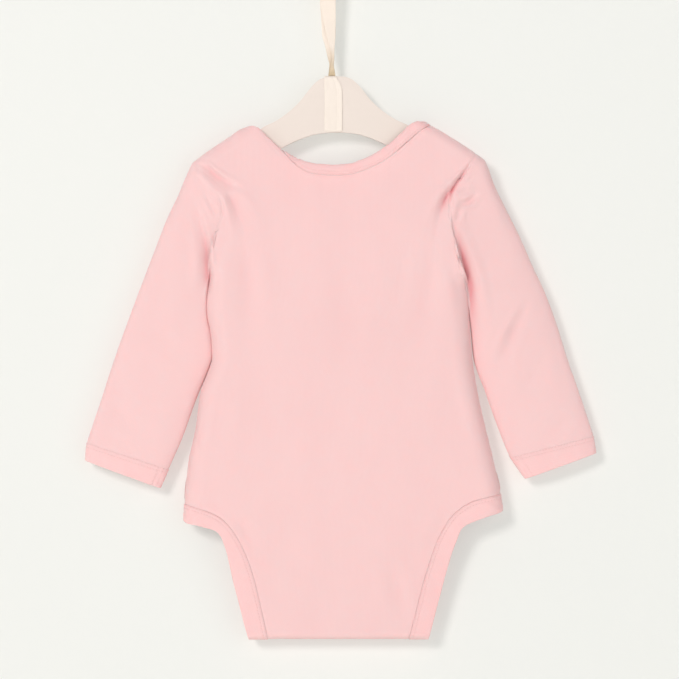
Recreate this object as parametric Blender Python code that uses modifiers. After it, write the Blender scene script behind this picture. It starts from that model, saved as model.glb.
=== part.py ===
"""Long-sleeved baby bodysuit on a flat hanger that hangs from a doubled ribbon.

The back of the garment faces -Y and the wearer's right side is +X. The origin is the top of
the ribbon's loop, where a hook holds it. Tables are in millimetres on the garment's own
centre line, with z measured down from the loop, and each mesh is written in metres.
"""
import math

import bpy
import numpy as np

MM = 0.001
HANG_OFFSET_X = 9.2      # the garment hangs this far to the right of its hook

# ---------------------------------------------------------------- cloth and seams
CLOTH = 1.1              # wall of the knit cloth
BAND = 1.7               # wall of the doubled bindings and cuffs
BAND_LIFT = 0.4          # how far a binding stands proud of its panel
SEAM_GAP = 0.4           # gap between two pieces at a seam
SIDE_SEAM = 0.6          # half the gap between back and front along the rounded side
LAP_END_GAP = 1.2        # gap between a lap binding's end and the sleeve
BAND_WIDTH = 9.0         # neck binding
ARM_GAP = 1.05           # gap at the outer face of the armhole seam, 0.3 at the inner one
UNDER_LAP = 2.7          # how far the front panel lies under the lap
LAP_COVER = 6.0          # the front panel starts to rise this far below the lap's edge
LAP_RISE = 16.0          # and is out from under it over this height
RIDGE_EXTRA = 0.22       # more room where the neck seam passes over the shoulder's ridge

# ---------------------------------------------------------------- rounding of the hung garment
SIDE_ROUND = 15.0        # width over which a side rounds away
RIDGE_ROUND = 9.0        # height over which the shoulder rounds over
CROTCH_ROUND = 5.5       # height over which the crotch fold rounds under
NECK_CREST = 6.4         # the free back neck edge lies this far behind the hanger's middle
CREASE_FADE = 25.0       # height over which the troughs set in below the fold line
SHOULDER_LEFT, SHOULDER_RIGHT = -76.0, 60.0     # where the cloth leaves the hanger's arms
SHOULDER_FADE = 10.0
TOP_ZONE = 30.0          # rows this far below the shoulder follow its line
FADE_ZONE = 150.0        # rows this far below the shoulder are level
CROTCH_Z = -535.6
FLAP_Z = -504.0          # the snap flap's end, on the front
FLAP_DEPTH = 6.8
FLAP_HEIGHTS = (31.6, 18.0, 5.5, 2.8, 0.9)      # the leg binding's points up the snap flap
FRONT_SCOOP = 5.0        # the front leg opening is cut this much further in than the back's
FRONT_LIFT = 3.0         # and this much higher near the hip
FRONT_END_Z = -527.0     # the front panel's end, under the snap flap
FAR_BELOW = 99.0         # a distance below the fold line that has no rounding left

# ---------------------------------------------------------------- outlines (x, z)
FOLD_LINE = (            # shoulder, neck edge, shoulder, as seen from behind
    (-118.4, -155.2), (-105.6, -145.6), (-91.2, -136.0), (-76.8, -126.8), (-70.4, -125.2),
    (-65.6, -126.6), (-56.0, -135.2), (-48.0, -142.4), (-40.0, -148.0), (-32.0, -152.0),
    (-16.0, -155.6), (-4.0, -156.2), (8.0, -155.2), (16.0, -152.8), (24.0, -149.4),
    (32.0, -144.8), (40.0, -139.2), (48.0, -132.0), (57.6, -123.4), (63.2, -121.2),
    (68.0, -121.8), (73.6, -124.8), (98.4, -140.0), (108.8, -146.8), (116.8, -152.8),
)
FRONT_NECK = (           # top of the front panel, under the laps at both ends
    (-118.4, -166.2), (-91.2, -148.0), (-77.0, -140.0), (-66.0, -140.0), (-56.0, -147.0),
    (-40.0, -160.0), (-20.0, -169.0), (-3.0, -171.5), (14.0, -169.0), (34.0, -158.0),
    (50.0, -144.5), (60.0, -137.0), (70.0, -135.5), (80.0, -141.0), (98.4, -152.5), (108.8, -159.0),
)
SEAM_DROP = (            # x, drop of the back binding's seam below the fold line; < 0 is in front
    (-118.4, -36.0), (-104.0, -28.0), (-92.0, -17.0), (-84.0, -8.0), (-78.0, -1.5), (-73.0, 1.6),
    (-67.0, 2.6), (-52.0, 2.6), (-44.0, 3.4), (-34.0, 6.0), (-24.0, 8.4), (-4.0, 9.0),
    (16.0, 9.6), (32.0, 11.2), (48.0, 12.8), (56.0, 13.6), (60.0, 12.4), (64.0, 9.6),
    (68.0, 6.0), (72.0, 1.5), (76.0, -2.5), (80.0, -6.5), (98.4, -22.0), (108.8, -30.0),
)
EDGE_DROP = (            # x, drop of the back binding's edge
    (-118.4, -46.0), (-104.0, -38.0), (-92.0, -27.5), (-84.0, -18.0), (-78.0, -9.0), (-73.0, -2.4),
    (-67.0, 0.0), (62.0, 0.0), (66.0, -0.8), (69.0, -2.4), (72.0, -7.0), (76.0, -12.0),
    (80.0, -16.5), (98.4, -32.5), (108.8, -40.5),
)
SIDE_LEFT = (            # z, x of the left armhole and side, shoulder tip to leg seam
    (-155.2, -118.4), (-166.4, -108.0), (-174.4, -101.6), (-181.6, -96.8), (-189.6, -94.4),
    (-197.6, -94.4), (-205.6, -96.8), (-214.4, -100.0), (-224.0, -102.4), (-234.4, -104.0),
    (-245.6, -104.8), (-264.0, -106.8), (-276.0, -106.2), (-288.0, -103.8), (-300.0, -102.3),
    (-310.0, -101.9), (-321.0, -104.8), (-337.6, -111.0), (-366.4, -115.0), (-395.0, -121.0),
    (-427.2, -124.0),
)
SIDE_RIGHT = (
    (-146.8, 108.8), (-157.6, 104.0), (-164.0, 99.2), (-174.4, 91.2), (-180.0, 88.8),
    (-187.2, 87.2), (-196.0, 87.6), (-204.0, 88.8), (-216.0, 91.2), (-228.0, 94.4),
    (-240.0, 98.0), (-252.8, 102.4), (-264.0, 103.2), (-280.0, 104.0), (-312.0, 106.4),
    (-337.6, 110.4), (-366.4, 116.8), (-395.0, 123.8), (-419.2, 128.8),
)
LEG_LEFT = (             # seam x, seam z, edge x, edge z: hip corner to crotch fold
    (-124.0, -427.2, -124.8, -440.8), (-121.5, -428.0, -122.8, -442.4),
    (-114.0, -430.2, -117.0, -443.8), (-104.0, -433.4, -109.0, -445.6),
    (-94.4, -438.4, -100.0, -448.2), (-86.5, -446.6, -95.0, -452.6),
    (-80.0, -456.8, -92.3, -459.0), (-74.0, -469.5, -89.4, -469.0),
    (-68.8, -484.8, -85.8, -485.6), (-64.0, -504.0, -80.6, -506.0),
    (-60.0, -521.6, -76.2, -523.6), (-57.0, -535.6, -72.8, -535.6),
)
LEG_RIGHT = (
    (128.8, -419.2, 130.8, -432.8), (126.2, -419.9, 128.4, -434.2), (118.4, -421.6, 121.0, -436.4),
    (107.0, -424.6, 111.5, -439.6), (97.6, -429.6, 102.6, -443.2), (90.0, -436.2, 97.2, -447.4),
    (84.0, -444.6, 94.0, -455.0), (77.6, -457.2, 90.2, -465.4), (72.2, -472.2, 86.6, -477.6),
    (66.2, -492.0, 81.6, -496.0), (60.8, -513.6, 77.0, -513.6), (55.2, -535.6, 71.4, -535.6),
)
UNDERARM_LEFT, UNDERARM_RIGHT = -245.6, -252.8
ROUND_LEFT = (           # z, x where the left outline rounds away, above the underarm and below the hip
    (-120.0, -150.0), (-155.0, -146.0), (-190.0, -140.0), (-212.0, -131.0), (-230.0, -117.0),
    (-441.0, -125.0), (-452.0, -114.0), (-468.0, -98.0), (-486.0, -92.0), (-507.0, -87.0),
    (-540.0, -79.0),
) + tuple(row for row in SIDE_LEFT if row[0] <= UNDERARM_LEFT)
ROUND_RIGHT = (
    (-120.0, 142.0), (-155.0, 140.0), (-190.0, 134.0), (-215.0, 124.0), (-236.0, 110.0),
    (-433.0, 131.0), (-447.0, 115.0), (-463.0, 99.0), (-480.0, 92.5), (-507.0, 85.0),
    (-540.0, 77.5),
) + tuple(row for row in SIDE_RIGHT if row[0] <= UNDERARM_RIGHT)
BACK_DEPTH = (           # z, how far the back panel stands out behind the hanger's middle
    (-120.0, 8.6), (-155.0, 9.0), (-200.0, 12.0), (-260.0, 14.5), (-330.0, 16.0), (-390.0, 15.0),
    (-430.0, 12.0), (-470.0, 8.6), (-510.0, 6.2), (-540.0, 5.6),
)
FRONT_DEPTH = (
    (-120.0, 9.4), (-155.0, 9.6), (-200.0, 11.5), (-260.0, 13.0), (-330.0, 13.5), (-390.0, 12.0),
    (-430.0, 9.6), (-470.0, 6.6), (-500.0, 4.2), (-540.0, 3.4),
)
SLEEVE_LEFT = (          # outer x, outer z, inner x, inner z, half depth, y of the middle
    (-118.4, -155.2, -104.8, -245.6, 8.0, 0.0), (-123.0, -165.0, -106.0, -251.0, 8.0, 0.0),
    (-129.5, -181.0, -107.0, -258.0, 8.5, 0.0), (-138.0, -199.0, -107.6, -267.0, 9.0, 0.2),
    (-147.0, -222.5, -107.0, -278.0, 9.0, 0.5), (-156.8, -248.0, -104.4, -292.0, 9.0, 0.8),
    (-168.8, -280.0, -103.0, -306.5, 8.8, 1.2), (-175.6, -298.5, -106.6, -323.5, 8.6, 1.6),
    (-183.0, -320.0, -115.2, -345.6, 8.3, 2.0), (-192.4, -349.0, -125.6, -374.4, 7.8, 2.4),
    (-202.4, -378.5, -136.8, -400.0, 7.2, 2.8),
)
SLEEVE_RIGHT = (
    (108.8, -146.8, 102.4, -252.8, 8.0, 0.0), (116.6, -152.8, 103.4, -257.6, 8.0, 0.0),
    (124.4, -172.8, 104.6, -264.0, 8.5, 0.0), (134.4, -193.6, 105.4, -273.6, 9.0, 0.4),
    (144.0, -213.0, 106.4, -284.8, 9.0, 0.8), (154.4, -237.0, 107.4, -296.0, 9.0, 1.2),
    (164.8, -259.2, 108.6, -308.8, 8.8, 1.6), (173.6, -283.0, 111.0, -321.6, 8.6, 2.0),
    (183.2, -313.6, 116.4, -337.6, 8.3, 2.2), (190.0, -332.8, 123.2, -356.8, 7.8, 2.4),
    (197.6, -355.2, 130.4, -376.0, 7.4, 2.6), (203.4, -373.2, 136.4, -390.4, 7.2, 2.8),
)
CUFF_LEFT_END = (-203.8, -393.0, -143.4, -415.2, 6.8, 3.2)
CUFF_RIGHT_END = (205.8, -387.0, 148.6, -407.8, 6.8, 3.2)
CUFF_START = 0.022       # the cuff starts this share of its length below the sleeve's end
CREASES = (              # start x, z, middle x, z, end x, z, half width, depth
    (-110.0, -161.0, -96.0, -170.0, -72.0, -178.0, 4.0, 1.5),
    (-90.0, -178.0, -82.0, -196.0, -78.0, -212.0, 5.0, 1.3),
    (-78.0, -212.0, -74.0, -260.0, -73.0, -335.0, 10.0, 1.4),
    (100.0, -166.0, 88.0, -176.0, 82.0, -190.0, 4.0, 1.8),
    (82.0, -190.0, 78.0, -204.0, 73.0, -222.0, 5.0, 1.6),
    (8.0, -230.0, 5.0, -300.0, 2.0, -370.0, 16.0, 0.9),
    (50.0, -220.0, 52.0, -290.0, 50.0, -380.0, 14.0, 0.9),
    (40.0, -480.0, 50.0, -500.0, 56.0, -516.0, 6.0, 0.7),
)

# ---------------------------------------------------------------- rows and columns
COLUMN_GROUPS = (        # start x, end x as a share of the width, number of columns
    (0.0, 0.21, 7), (0.21, 0.80, 11), (0.80, 1.0, 6),
)
SIDE_SHARE = 0.0022      # an extra column close to each side seam
SHOULDER_DROPS = (0.54, 2.1, 4.5, 9.0, 16.0, 23.0, 30.0)
LAP_DROPS = (-36.0, -30.0, -23.0, -16.0, -9.0, -4.5, -2.1, -0.54, 0.0)
ROW_STEP = 0.5           # least distance between two rows of the top zone
FRONT_TOP_ROWS = 5
FRONT_TOP = 43.0         # the front panel's top rows reach this far below the shoulder
ARM_ROWS = 7
SIDE_SHARES = (0.1, 0.2, 0.3, 0.36, 0.42, 0.5, 0.6, 0.72, 0.86, 1.0)
LEG_SHARES = (0.012, 0.04, 0.09, 0.17, 0.26, 0.35, 0.45, 0.56, 0.68, 0.84, 1.0)
FOLD_ROWS = 4
FLAP_ROWS = 2
BAND_ROWS = 3
CUFF_ROWS = 3
SCOOP_ROWS = 5           # rows from the hip over which the front leg opening is scooped in
RING_POINTS = 2 * (len(SHOULDER_DROPS) + ARM_ROWS)
SECTION_POWER = 2.4      # roundness of a flattened sleeve section
SLEEVE_BLEND = 5         # rings over which the armhole's curve fades out

# ---------------------------------------------------------------- hanger and ribbon
HANGER_X = -3.2
HANGER_THICK = 4.5
HANGER_TILT = 0.014
HANGER_TOP = (           # distance from the hanger's middle, z of its upper edge
    (0.0, -85.6), (6.0, -85.9), (12.0, -87.6), (17.0, -91.4), (22.4, -97.6), (27.2, -103.8),
    (32.8, -109.6), (39.2, -115.0), (48.8, -121.2), (57.6, -125.4), (64.0, -130.4), (72.0, -133.0),
    (80.0, -135.8), (90.0, -142.2), (100.0, -149.2),
)
HANGER_ARCH = (          # distance from the hanger's middle, z of its lower edge
    (0.0, -130.2), (14.0, -131.4), (28.0, -135.4), (42.0, -141.8), (58.0, -149.6),
    (76.0, -157.6), (90.0, -162.0), (100.0, -163.4),
)
HANGER_REACH = 100.0     # distance at which an arm's rounded end starts
HANGER_END = 104.5       # distance of that end
HANGER_TOP_STEPS, HANGER_ARCH_STEPS = 20, 11
HANGER_FIRST = 5.0       # distance of the outline's first point beside the middle
HANGER_BEVEL = 0.8
WRAP_LEFT, WRAP_RIGHT = -12.0, 2.2
WRAP_TOP, WRAP_LOW = -83.6, -132.2
WRAP_CORNER = 1.6        # height of the wrap's rounded bends
WRAP_BEND = ((1.0, 0.4), (0.0, 0.9), (-1.0, 0.4))   # share of the depth, rise of a bend's points
WRAP_THICK = 1.0
RIBBON_THICK = 1.0
RIBBON_LOW = -82.4       # both plies end just above the wrap
RIBBON_STEPS, LOOP_STEPS = 11, 6
PLY_APART = 0.75         # half the distance between the plies where they lie together
LOOP_OPEN_Z = -46.0      # above this the plies part
LOOP_OPEN_HEIGHT = 40.0
RIBBON = (               # z, x and half width of each ply: back ply, front ply
    (-85.0, -5.8, 3.0, -5.6, 3.0), (-78.0, -6.2, 2.8, -5.9, 2.7), (-68.0, -6.8, 3.2, -7.2, 3.2),
    (-56.0, -7.4, 3.8, -7.6, 4.0), (-44.0, -8.2, 4.6, -8.0, 4.8), (-32.0, -8.4, 5.2, -8.6, 5.6),
    (-20.0, -8.9, 5.8, -9.3, 6.2), (-8.0, -9.2, 6.2, -9.2, 6.4),
)
LOOP_RADIUS = 5.2
SNAP_X = (-30.0, 0.0, 30.0)
SNAP_Z = -515.0
CAP_RADIUS, CAP_THICK = 4.8, 1.5
STUD_RADIUS = 3.6


# ---------------------------------------------------------------- curves and fields
def smooth(table):
    """Smooth curve through (key, value) rows that never overshoots them."""
    rows = sorted(table)
    keys = np.array([row[0] for row in rows], float)
    values = np.array([row[1] for row in rows], float)
    steps = np.diff(keys)
    slopes = np.diff(values) / steps
    tangents = np.zeros(len(keys))
    tangents[0], tangents[-1] = slopes[0], slopes[-1]
    for i in range(1, len(keys) - 1):
        if slopes[i - 1] * slopes[i] > 0:
            before = 2 * steps[i] + steps[i - 1]
            after = steps[i] + 2 * steps[i - 1]
            tangents[i] = (before + after) / (before / slopes[i - 1] + after / slopes[i])

    def value(key):
        key = np.clip(key, keys[0], keys[-1])
        i = int(np.clip(np.searchsorted(keys, key) - 1, 0, len(steps) - 1))
        t = (key - keys[i]) / steps[i]
        return ((1 + 2 * t) * (1 - t) ** 2 * values[i] + t * (1 - t) ** 2 * steps[i] * tangents[i]
                + t * t * (3 - 2 * t) * values[i + 1] + t * t * (t - 1) * steps[i] * tangents[i + 1])
    return value


fold_z = smooth(FOLD_LINE)
front_neck_z = smooth(FRONT_NECK)
seam_drop = smooth(SEAM_DROP)
edge_drop = smooth(EDGE_DROP)
side_left = smooth(SIDE_LEFT)
side_right = smooth(SIDE_RIGHT)
round_left = smooth(ROUND_LEFT)
round_right = smooth(ROUND_RIGHT)
back_depth = smooth(BACK_DEPTH)
front_depth = smooth(FRONT_DEPTH)

TIP_LEFT = SIDE_LEFT[0][0]
TIP_RIGHT = SIDE_RIGHT[0][0]
HIP_LEFT = SIDE_LEFT[-1][0]
HIP_RIGHT = SIDE_RIGHT[-1][0]


def ease(t):
    """Smooth step from 0 to 1."""
    t = min(max(t, 0.0), 1.0)
    return t * t * (3 - 2 * t)


def lerp(a, b, t):
    return a + (b - a) * t


def spread(a, b, steps):
    """Evenly spaced values from a to b."""
    return [lerp(a, b, i / steps) for i in range(steps + 1)]


def rounding(t):
    """Quarter-round rise from 0 at the edge to 1 at t = 1 and beyond."""
    t = min(max(t, 0.0), 1.0)
    return math.sqrt(max(0.0, 1 - (1 - t) ** 2))


def on_shoulder(x):
    """1 over the shoulders, where the cloth folds over the hanger, 0 along the neck."""
    from_left = ease((x - SHOULDER_LEFT) / SHOULDER_FADE)
    to_right = ease((x - SHOULDER_RIGHT) / SHOULDER_FADE)
    return 1 - from_left + to_right


def crease(x, z):
    """Depth of the soft troughs at one place."""
    total = 0.0
    for x0, z0, x1, z1, x2, z2, width, depth in CREASES:
        best, place = 1e9, 0.0
        for part, (ax, az, bx, bz) in enumerate(((x0, z0, x1, z1), (x1, z1, x2, z2))):
            dx, dz = bx - ax, bz - az
            t = min(max(((x - ax) * dx + (z - az) * dz) / (dx * dx + dz * dz), 0.0), 1.0)
            gap = math.hypot(x - ax - t * dx, z - az - t * dz)
            if gap < best:
                best, place = gap, (part + t) / 2
        total += depth * math.exp(-(best / width) ** 2) * math.sin(math.pi * (0.1 + 0.8 * place))
    return total


def sides(x, z):
    """Rounding of the two side outlines."""
    left = rounding((x - round_left(z)) / SIDE_ROUND)
    right = rounding((round_right(z) - x) / SIDE_ROUND)
    return left * right


def back_y(x, z, below):
    """Y of the back's outer face, a distance below the fold line."""
    crest = NECK_CREST * (1 - on_shoulder(x))
    depth = back_depth(z) * sides(x, z)
    top = rounding(below / RIDGE_ROUND)
    bottom = rounding((z - CROTCH_Z) / CROTCH_ROUND)
    body = crest + (max(depth, crest) - crest) * top
    return -(body - crease(x, z) * ease(below / CREASE_FADE) * sides(x, z)) * bottom


def over_y(x, z, beyond):
    """Y of the back panel's cloth past the fold line, on the front side."""
    lap = front_depth(z) * sides(x, z) * rounding(beyond / RIDGE_ROUND)
    return lerp(-NECK_CREST, lap, on_shoulder(x))


def front_y(x, z, lap_room=None):
    """Y of the front panel's outer face; lap_room is the distance below the lap's edge."""
    depth = front_depth(z) * sides(x, z)
    top = lerp(1.0, rounding((fold_z(x) - z) / RIDGE_ROUND), on_shoulder(x))
    tucked = 0.0 if lap_room is None else 1 - ease((lap_room - LAP_COVER) / LAP_RISE)
    return depth * top - UNDER_LAP * tucked


# ---------------------------------------------------------------- grids and meshes
def column_shares(sides_too=True):
    """Columns from the left side to the right one, closer at the sides and neck points."""
    shares = [0.0, SIDE_SHARE, 1.0 - SIDE_SHARE] if sides_too else [0.0]
    for start, end, count in COLUMN_GROUPS:
        for i in range(1, count + 1):
            shares.append(lerp(start, end, 0.5 - 0.5 * math.cos(math.pi * i / count)))
    return sorted(shares)


def frame_at(drop):
    """Left and right ends of the row a drop below the shoulder tips."""
    left_z, right_z = TIP_LEFT - drop, TIP_RIGHT - drop
    return side_left(left_z), left_z, side_right(right_z), right_z


def column_point(share, ends):
    """X, z and first x of a column on the row with these (left x, z, right x, z) ends."""
    left_x, left_z, right_x, right_z = ends
    tip_left_x, _, tip_right_x, _ = frame_at(0.0)
    start = lerp(tip_left_x, tip_right_x, share)
    fade = 1 - ease((TIP_LEFT - left_z - TOP_ZONE) / (FADE_ZONE - TOP_ZONE))
    power = 1 + 5 * fade
    x = start + (left_x - tip_left_x) * (1 - share) ** power + (right_x - tip_right_x) * share ** power
    bump = fold_z(start) - lerp(TIP_LEFT, TIP_RIGHT, share)
    return x, lerp(left_z, right_z, share) + bump * fade, start


def top_point(share, drop):
    """The same, a drop below the fold line near the shoulders, on either side of it."""
    return column_point(share, frame_at(abs(drop)))


def level_rows(from_drop):
    """Row ends between the top zone and the hips, as (left x, z, right x, z)."""
    heights = []
    for i in range(1, ARM_ROWS + 1):
        heights.append((lerp(TIP_LEFT - from_drop, UNDERARM_LEFT, i / ARM_ROWS),
                        lerp(TIP_RIGHT - from_drop, UNDERARM_RIGHT, i / ARM_ROWS)))
    for share in SIDE_SHARES:
        heights.append((lerp(UNDERARM_LEFT, HIP_LEFT, share), lerp(UNDERARM_RIGHT, HIP_RIGHT, share)))
    return [(side_left(left_z), left_z, side_right(right_z), right_z) for left_z, right_z in heights]


def seam_path(table, first, second):
    """Points at the leg rows' shares along a smooth path through two columns of a table."""
    lengths = [0.0]
    for a, b in zip(table, table[1:]):
        lengths.append(lengths[-1] + math.hypot(b[first] - a[first], b[second] - a[second]))
    along_x = smooth([(s, row[first]) for s, row in zip(lengths, table)])
    along_z = smooth([(s, row[second]) for s, row in zip(lengths, table)])
    return [(along_x(lengths[-1] * share), along_z(lengths[-1] * share)) for share in LEG_SHARES]


def inset(points, gap=SEAM_GAP / 2, facing=0):
    """Pulls a row's two ends in by the seam gap; facing is -1 back, +1 front along a side seam."""
    for end, beside in ((0, 1), (-1, -2)):
        x, y, z = points[end]
        if facing and abs(y) < SIDE_SEAM:
            points[end] = (x, facing * SIDE_SEAM, z)
        else:
            along = np.array(points[beside]) - np.array(points[end])
            points[end] = tuple(np.array(points[end]) + along / np.linalg.norm(along) * gap)
    return points


def neck_gap(x):
    """Half the neck seam's gap, measured down a column where the seam slants."""
    reach = 2.0
    rise = abs(fold_z(x + reach) - fold_z(x - reach)) + abs(seam_drop(x + reach) - seam_drop(x - reach))
    slant = math.hypot(1.0, rise / (2 * reach))
    return SEAM_GAP / 2 * slant ** 1.6 + RIDGE_EXTRA * math.exp(-(seam_drop(x) / 4.0) ** 2)


def wrapped_point(share, drop):
    """Point of the back panel's cloth, below the fold line or past it on the front side."""
    x, z, _ = top_point(share, drop)
    y = back_y(x, z, drop) if drop >= 0 else over_y(x, z, -drop)
    return x, y, z


def back_grid():
    """Outer face of the back panel, from the lap edge over the shoulder to the flap's end."""
    shares = column_shares()
    grid = []
    for k, wanted in enumerate(LAP_DROPS + SHOULDER_DROPS):
        row = []
        for share in shares:
            _, _, start = top_point(share, 0.0)
            drop = max(wanted, seam_drop(start) + neck_gap(start) + k * ROW_STEP)
            row.append(wrapped_point(share, drop))
        grid.append(inset(row))
    for ends in level_rows(TOP_ZONE):
        row = []
        for share in shares:
            x, z, _ = column_point(share, ends)
            row.append((x, back_y(x, z, fold_z(x) - z), z))
        grid.append(inset(row, facing=-1))
    left = seam_path(LEG_LEFT, 0, 1)
    right = seam_path(LEG_RIGHT, 0, 1)
    for (left_x, left_z), (right_x, right_z) in zip(left, right):
        row = []
        for share in shares:
            x, z = lerp(left_x, right_x, share), lerp(left_z, right_z, share)
            row.append((x, back_y(x, max(z, CROTCH_Z), FAR_BELOW), max(z, CROTCH_Z)))
        grid.append(inset(row))
    grid[-1] = under_row(left[-1][0], right[-1][0], shares, 0.0)
    heights = [CROTCH_ROUND * (1 - math.cos(0.5 * math.pi * i / FOLD_ROWS)) for i in range(1, FOLD_ROWS + 1)]
    heights += [lerp(CROTCH_ROUND, FLAP_Z - CROTCH_Z, i / FLAP_ROWS) for i in range(1, FLAP_ROWS + 1)]
    for height in heights:
        grid.append(under_row(left[-1][0], right[-1][0], shares, height))
    return grid


def flap_y(height):
    """Y of the snap flap's outer face, a height above the crotch fold."""
    return FLAP_DEPTH * rounding(height / CROTCH_ROUND)


def under_row(left_x, right_x, shares, height):
    """One row of the cloth under the crotch fold and up the snap flap."""
    row = []
    for share in shares:
        row.append((lerp(left_x, right_x, share), flap_y(height), CROTCH_Z + height))
    return inset(row)


def front_leg(table):
    """The front leg opening: the back's, scooped further in, and shorter."""
    rows = []
    for i, (seam_x, seam_z, edge_x, edge_z) in enumerate(table):
        share = ease(i / SCOOP_ROWS)
        side = math.copysign(FRONT_SCOOP * share, seam_x)
        rise = lerp(0.0, FRONT_END_Z - CROTCH_Z, share * i / (len(table) - 1))
        lift = FRONT_LIFT * share * (1 - i / (len(table) - 1))
        rows.append((seam_x - side, seam_z + rise + lift, edge_x - side, edge_z + rise + lift))
    return rows


def front_grid():
    """Outer face of the front panel, from its neck seam to its end under the flap."""
    shares = column_shares()
    grid = []
    for k in range(FRONT_TOP_ROWS + 1):
        row = []
        for share in shares:
            _, _, start = top_point(share, 0.0)
            begin = fold_z(start) - front_neck_z(start) + BAND_WIDTH + SEAM_GAP / 2
            drop = lerp(begin, FRONT_TOP, k / FRONT_TOP_ROWS)
            x, z, _ = top_point(share, drop)
            row.append((x, front_y(x, z, drop + edge_drop(start)), z))
        grid.append(inset(row))
    for ends in level_rows(FRONT_TOP):
        row = []
        for share in shares:
            x, z, start = column_point(share, ends)
            lap_room = TIP_LEFT - ends[1] + edge_drop(start)
            row.append((x, front_y(x, z, lap_room), z))
        grid.append(inset(row, facing=1))
    left = seam_path(front_leg(LEG_LEFT), 0, 1)
    right = seam_path(front_leg(LEG_RIGHT), 0, 1)
    for (left_x, left_z), (right_x, right_z) in zip(left, right):
        row = []
        for share in shares:
            x, z = lerp(left_x, right_x, share), lerp(left_z, right_z, share)
            row.append((x, front_y(x, z), z))
        grid.append(inset(row))
    return grid


def lifted(grid, distance, facing):
    """The same grid moved out along its own normals; facing is +1 or -1 for its winding."""
    points = np.array(grid)
    down = np.gradient(points, axis=0)
    across = np.gradient(points, axis=1)
    normal = np.cross(across, down) * facing
    normal /= np.maximum(np.linalg.norm(normal, axis=2, keepdims=True), 1e-9)
    return (points + normal * distance).tolist()


def back_neck_grid():
    """Back neck binding, over both shoulders to the ends of the laps."""
    grid = []
    for k in range(BAND_ROWS + 1):
        row = []
        for share in column_shares(sides_too=False):
            _, _, start = top_point(share, 0.0)
            drop = lerp(edge_drop(start), seam_drop(start) - neck_gap(start), k / BAND_ROWS)
            row.append(wrapped_point(share, drop))
        grid.append(inset(row, LAP_END_GAP))
    return lifted(grid, BAND_LIFT, 1)


def front_neck_grid():
    """Front neck binding, with both ends under the laps."""
    grid = []
    for k in range(BAND_ROWS + 1):
        row = []
        for share in column_shares(sides_too=False):
            _, _, start = top_point(share, 0.0)
            begin = fold_z(start) - front_neck_z(start)
            drop = begin + lerp(0.0, BAND_WIDTH - SEAM_GAP / 2, k / BAND_ROWS)
            x, z, _ = top_point(share, drop)
            row.append((x, front_y(x, z, drop + edge_drop(start)), z))
        grid.append(inset(row))
    return lifted(grid, BAND_LIFT, -1)


def leg_grid(table, side):
    """Leg binding: snap flap, crotch fold, back leg, hip, front leg. side is -1 left, +1 right."""
    stations = []
    fold = table[-1]
    for height in FLAP_HEIGHTS:
        y = flap_y(height)
        stations.append((fold[0], CROTCH_Z + height, y, fold[2], CROTCH_Z + height, y))
    for (sx, sz), (ex, ez) in zip(seam_path(table, 0, 1)[::-1], seam_path(table, 2, 3)[::-1]):
        ez = max(ez, CROTCH_Z)
        stations.append((sx, sz, back_y(sx, sz, FAR_BELOW), ex, ez, back_y(ex, ez, FAR_BELOW)))
    hip = table[0]
    stations.append((hip[0], hip[1], 0.0, hip[2], hip[3], 0.0))
    front = front_leg(table)
    for (sx, sz), (ex, ez) in zip(seam_path(front, 0, 1), seam_path(front, 2, 3)):
        stations.append((sx, sz, front_y(sx, sz), ex, ez, front_y(ex, ez)))
    grid = []
    for sx, sz, sy, ex, ez, ey in stations:
        out = np.array((ex - sx, ey - sy, ez - sz))
        inner = np.array((sx, sy, sz)) + out / np.linalg.norm(out) * SEAM_GAP
        outer = np.array((ex, ey, ez))
        grid.append([tuple(lerp(inner, outer, t)) for t in (0.0, 0.5, 1.0)])
    return lifted(grid, BAND_LIFT, side)


def armhole_point(share, left, front):
    """Point of the armhole's ring, from the shoulder tip (0) to the underarm (1)."""
    tip = TIP_LEFT if left else TIP_RIGHT
    under = UNDERARM_LEFT if left else UNDERARM_RIGHT
    z = lerp(tip, under, share)
    x = side_left(z) if left else side_right(z)
    below = tip - z
    if front:
        y = front_depth(z) * sides(x, z) * rounding(below / RIDGE_ROUND)
    else:
        y = -back_y(x, z, below)
    return x, z, y


def section(i):
    """Share across a flattened section and its bulge (+ back, - front) at ring point i."""
    share = 0.5 - 0.5 * math.cos(2 * math.pi * i / RING_POINTS)
    bulge = (1 - abs(2 * share - 1) ** SECTION_POWER) ** (1 / SECTION_POWER)
    if i in (0, RING_POINTS // 2):
        return round(share), 0.0
    return share, bulge if i < RING_POINTS / 2 else -bulge


def armhole_shares(left):
    """Shares down the armhole of the ring's points, on the panel's own rows."""
    depth = TIP_LEFT - UNDERARM_LEFT if left else TIP_RIGHT - UNDERARM_RIGHT
    shares = [0.0] + [drop / depth for drop in SHOULDER_DROPS]
    first = shares[-1]
    shares += [lerp(first, 1.0, i / ARM_ROWS) for i in range(1, ARM_ROWS + 1)]
    return shares + shares[-2:0:-1]


def sleeve_grid(table, left):
    """Outer face of a sleeve: rings from the armhole to the cuff seam."""
    first = table[0]
    arm_shares = armhole_shares(left)
    grid = []
    for j, (ox, oz, ix, iz, depth, middle) in enumerate(table):
        fade = 1 - ease(j / SLEEVE_BLEND)
        ring = []
        for i in range(RING_POINTS):
            even, bulge = section(i)
            arm = arm_shares[i]
            share = lerp(even, arm, fade)
            arm_x, arm_z, arm_y = armhole_point(arm, left, bulge < 0)
            x = lerp(ox, ix, share) + fade * (arm_x - lerp(first[0], first[2], arm))
            z = lerp(oz, iz, share) + fade * (arm_z - lerp(first[1], first[3], arm))
            y = lerp(depth * abs(bulge), arm_y, fade)
            side = math.copysign(1.0, bulge) if bulge else 0.0
            ring.append((x + (-ARM_GAP if left else ARM_GAP) * fade, middle - side * y, z))
        grid.append(ring)
    return grid


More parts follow.
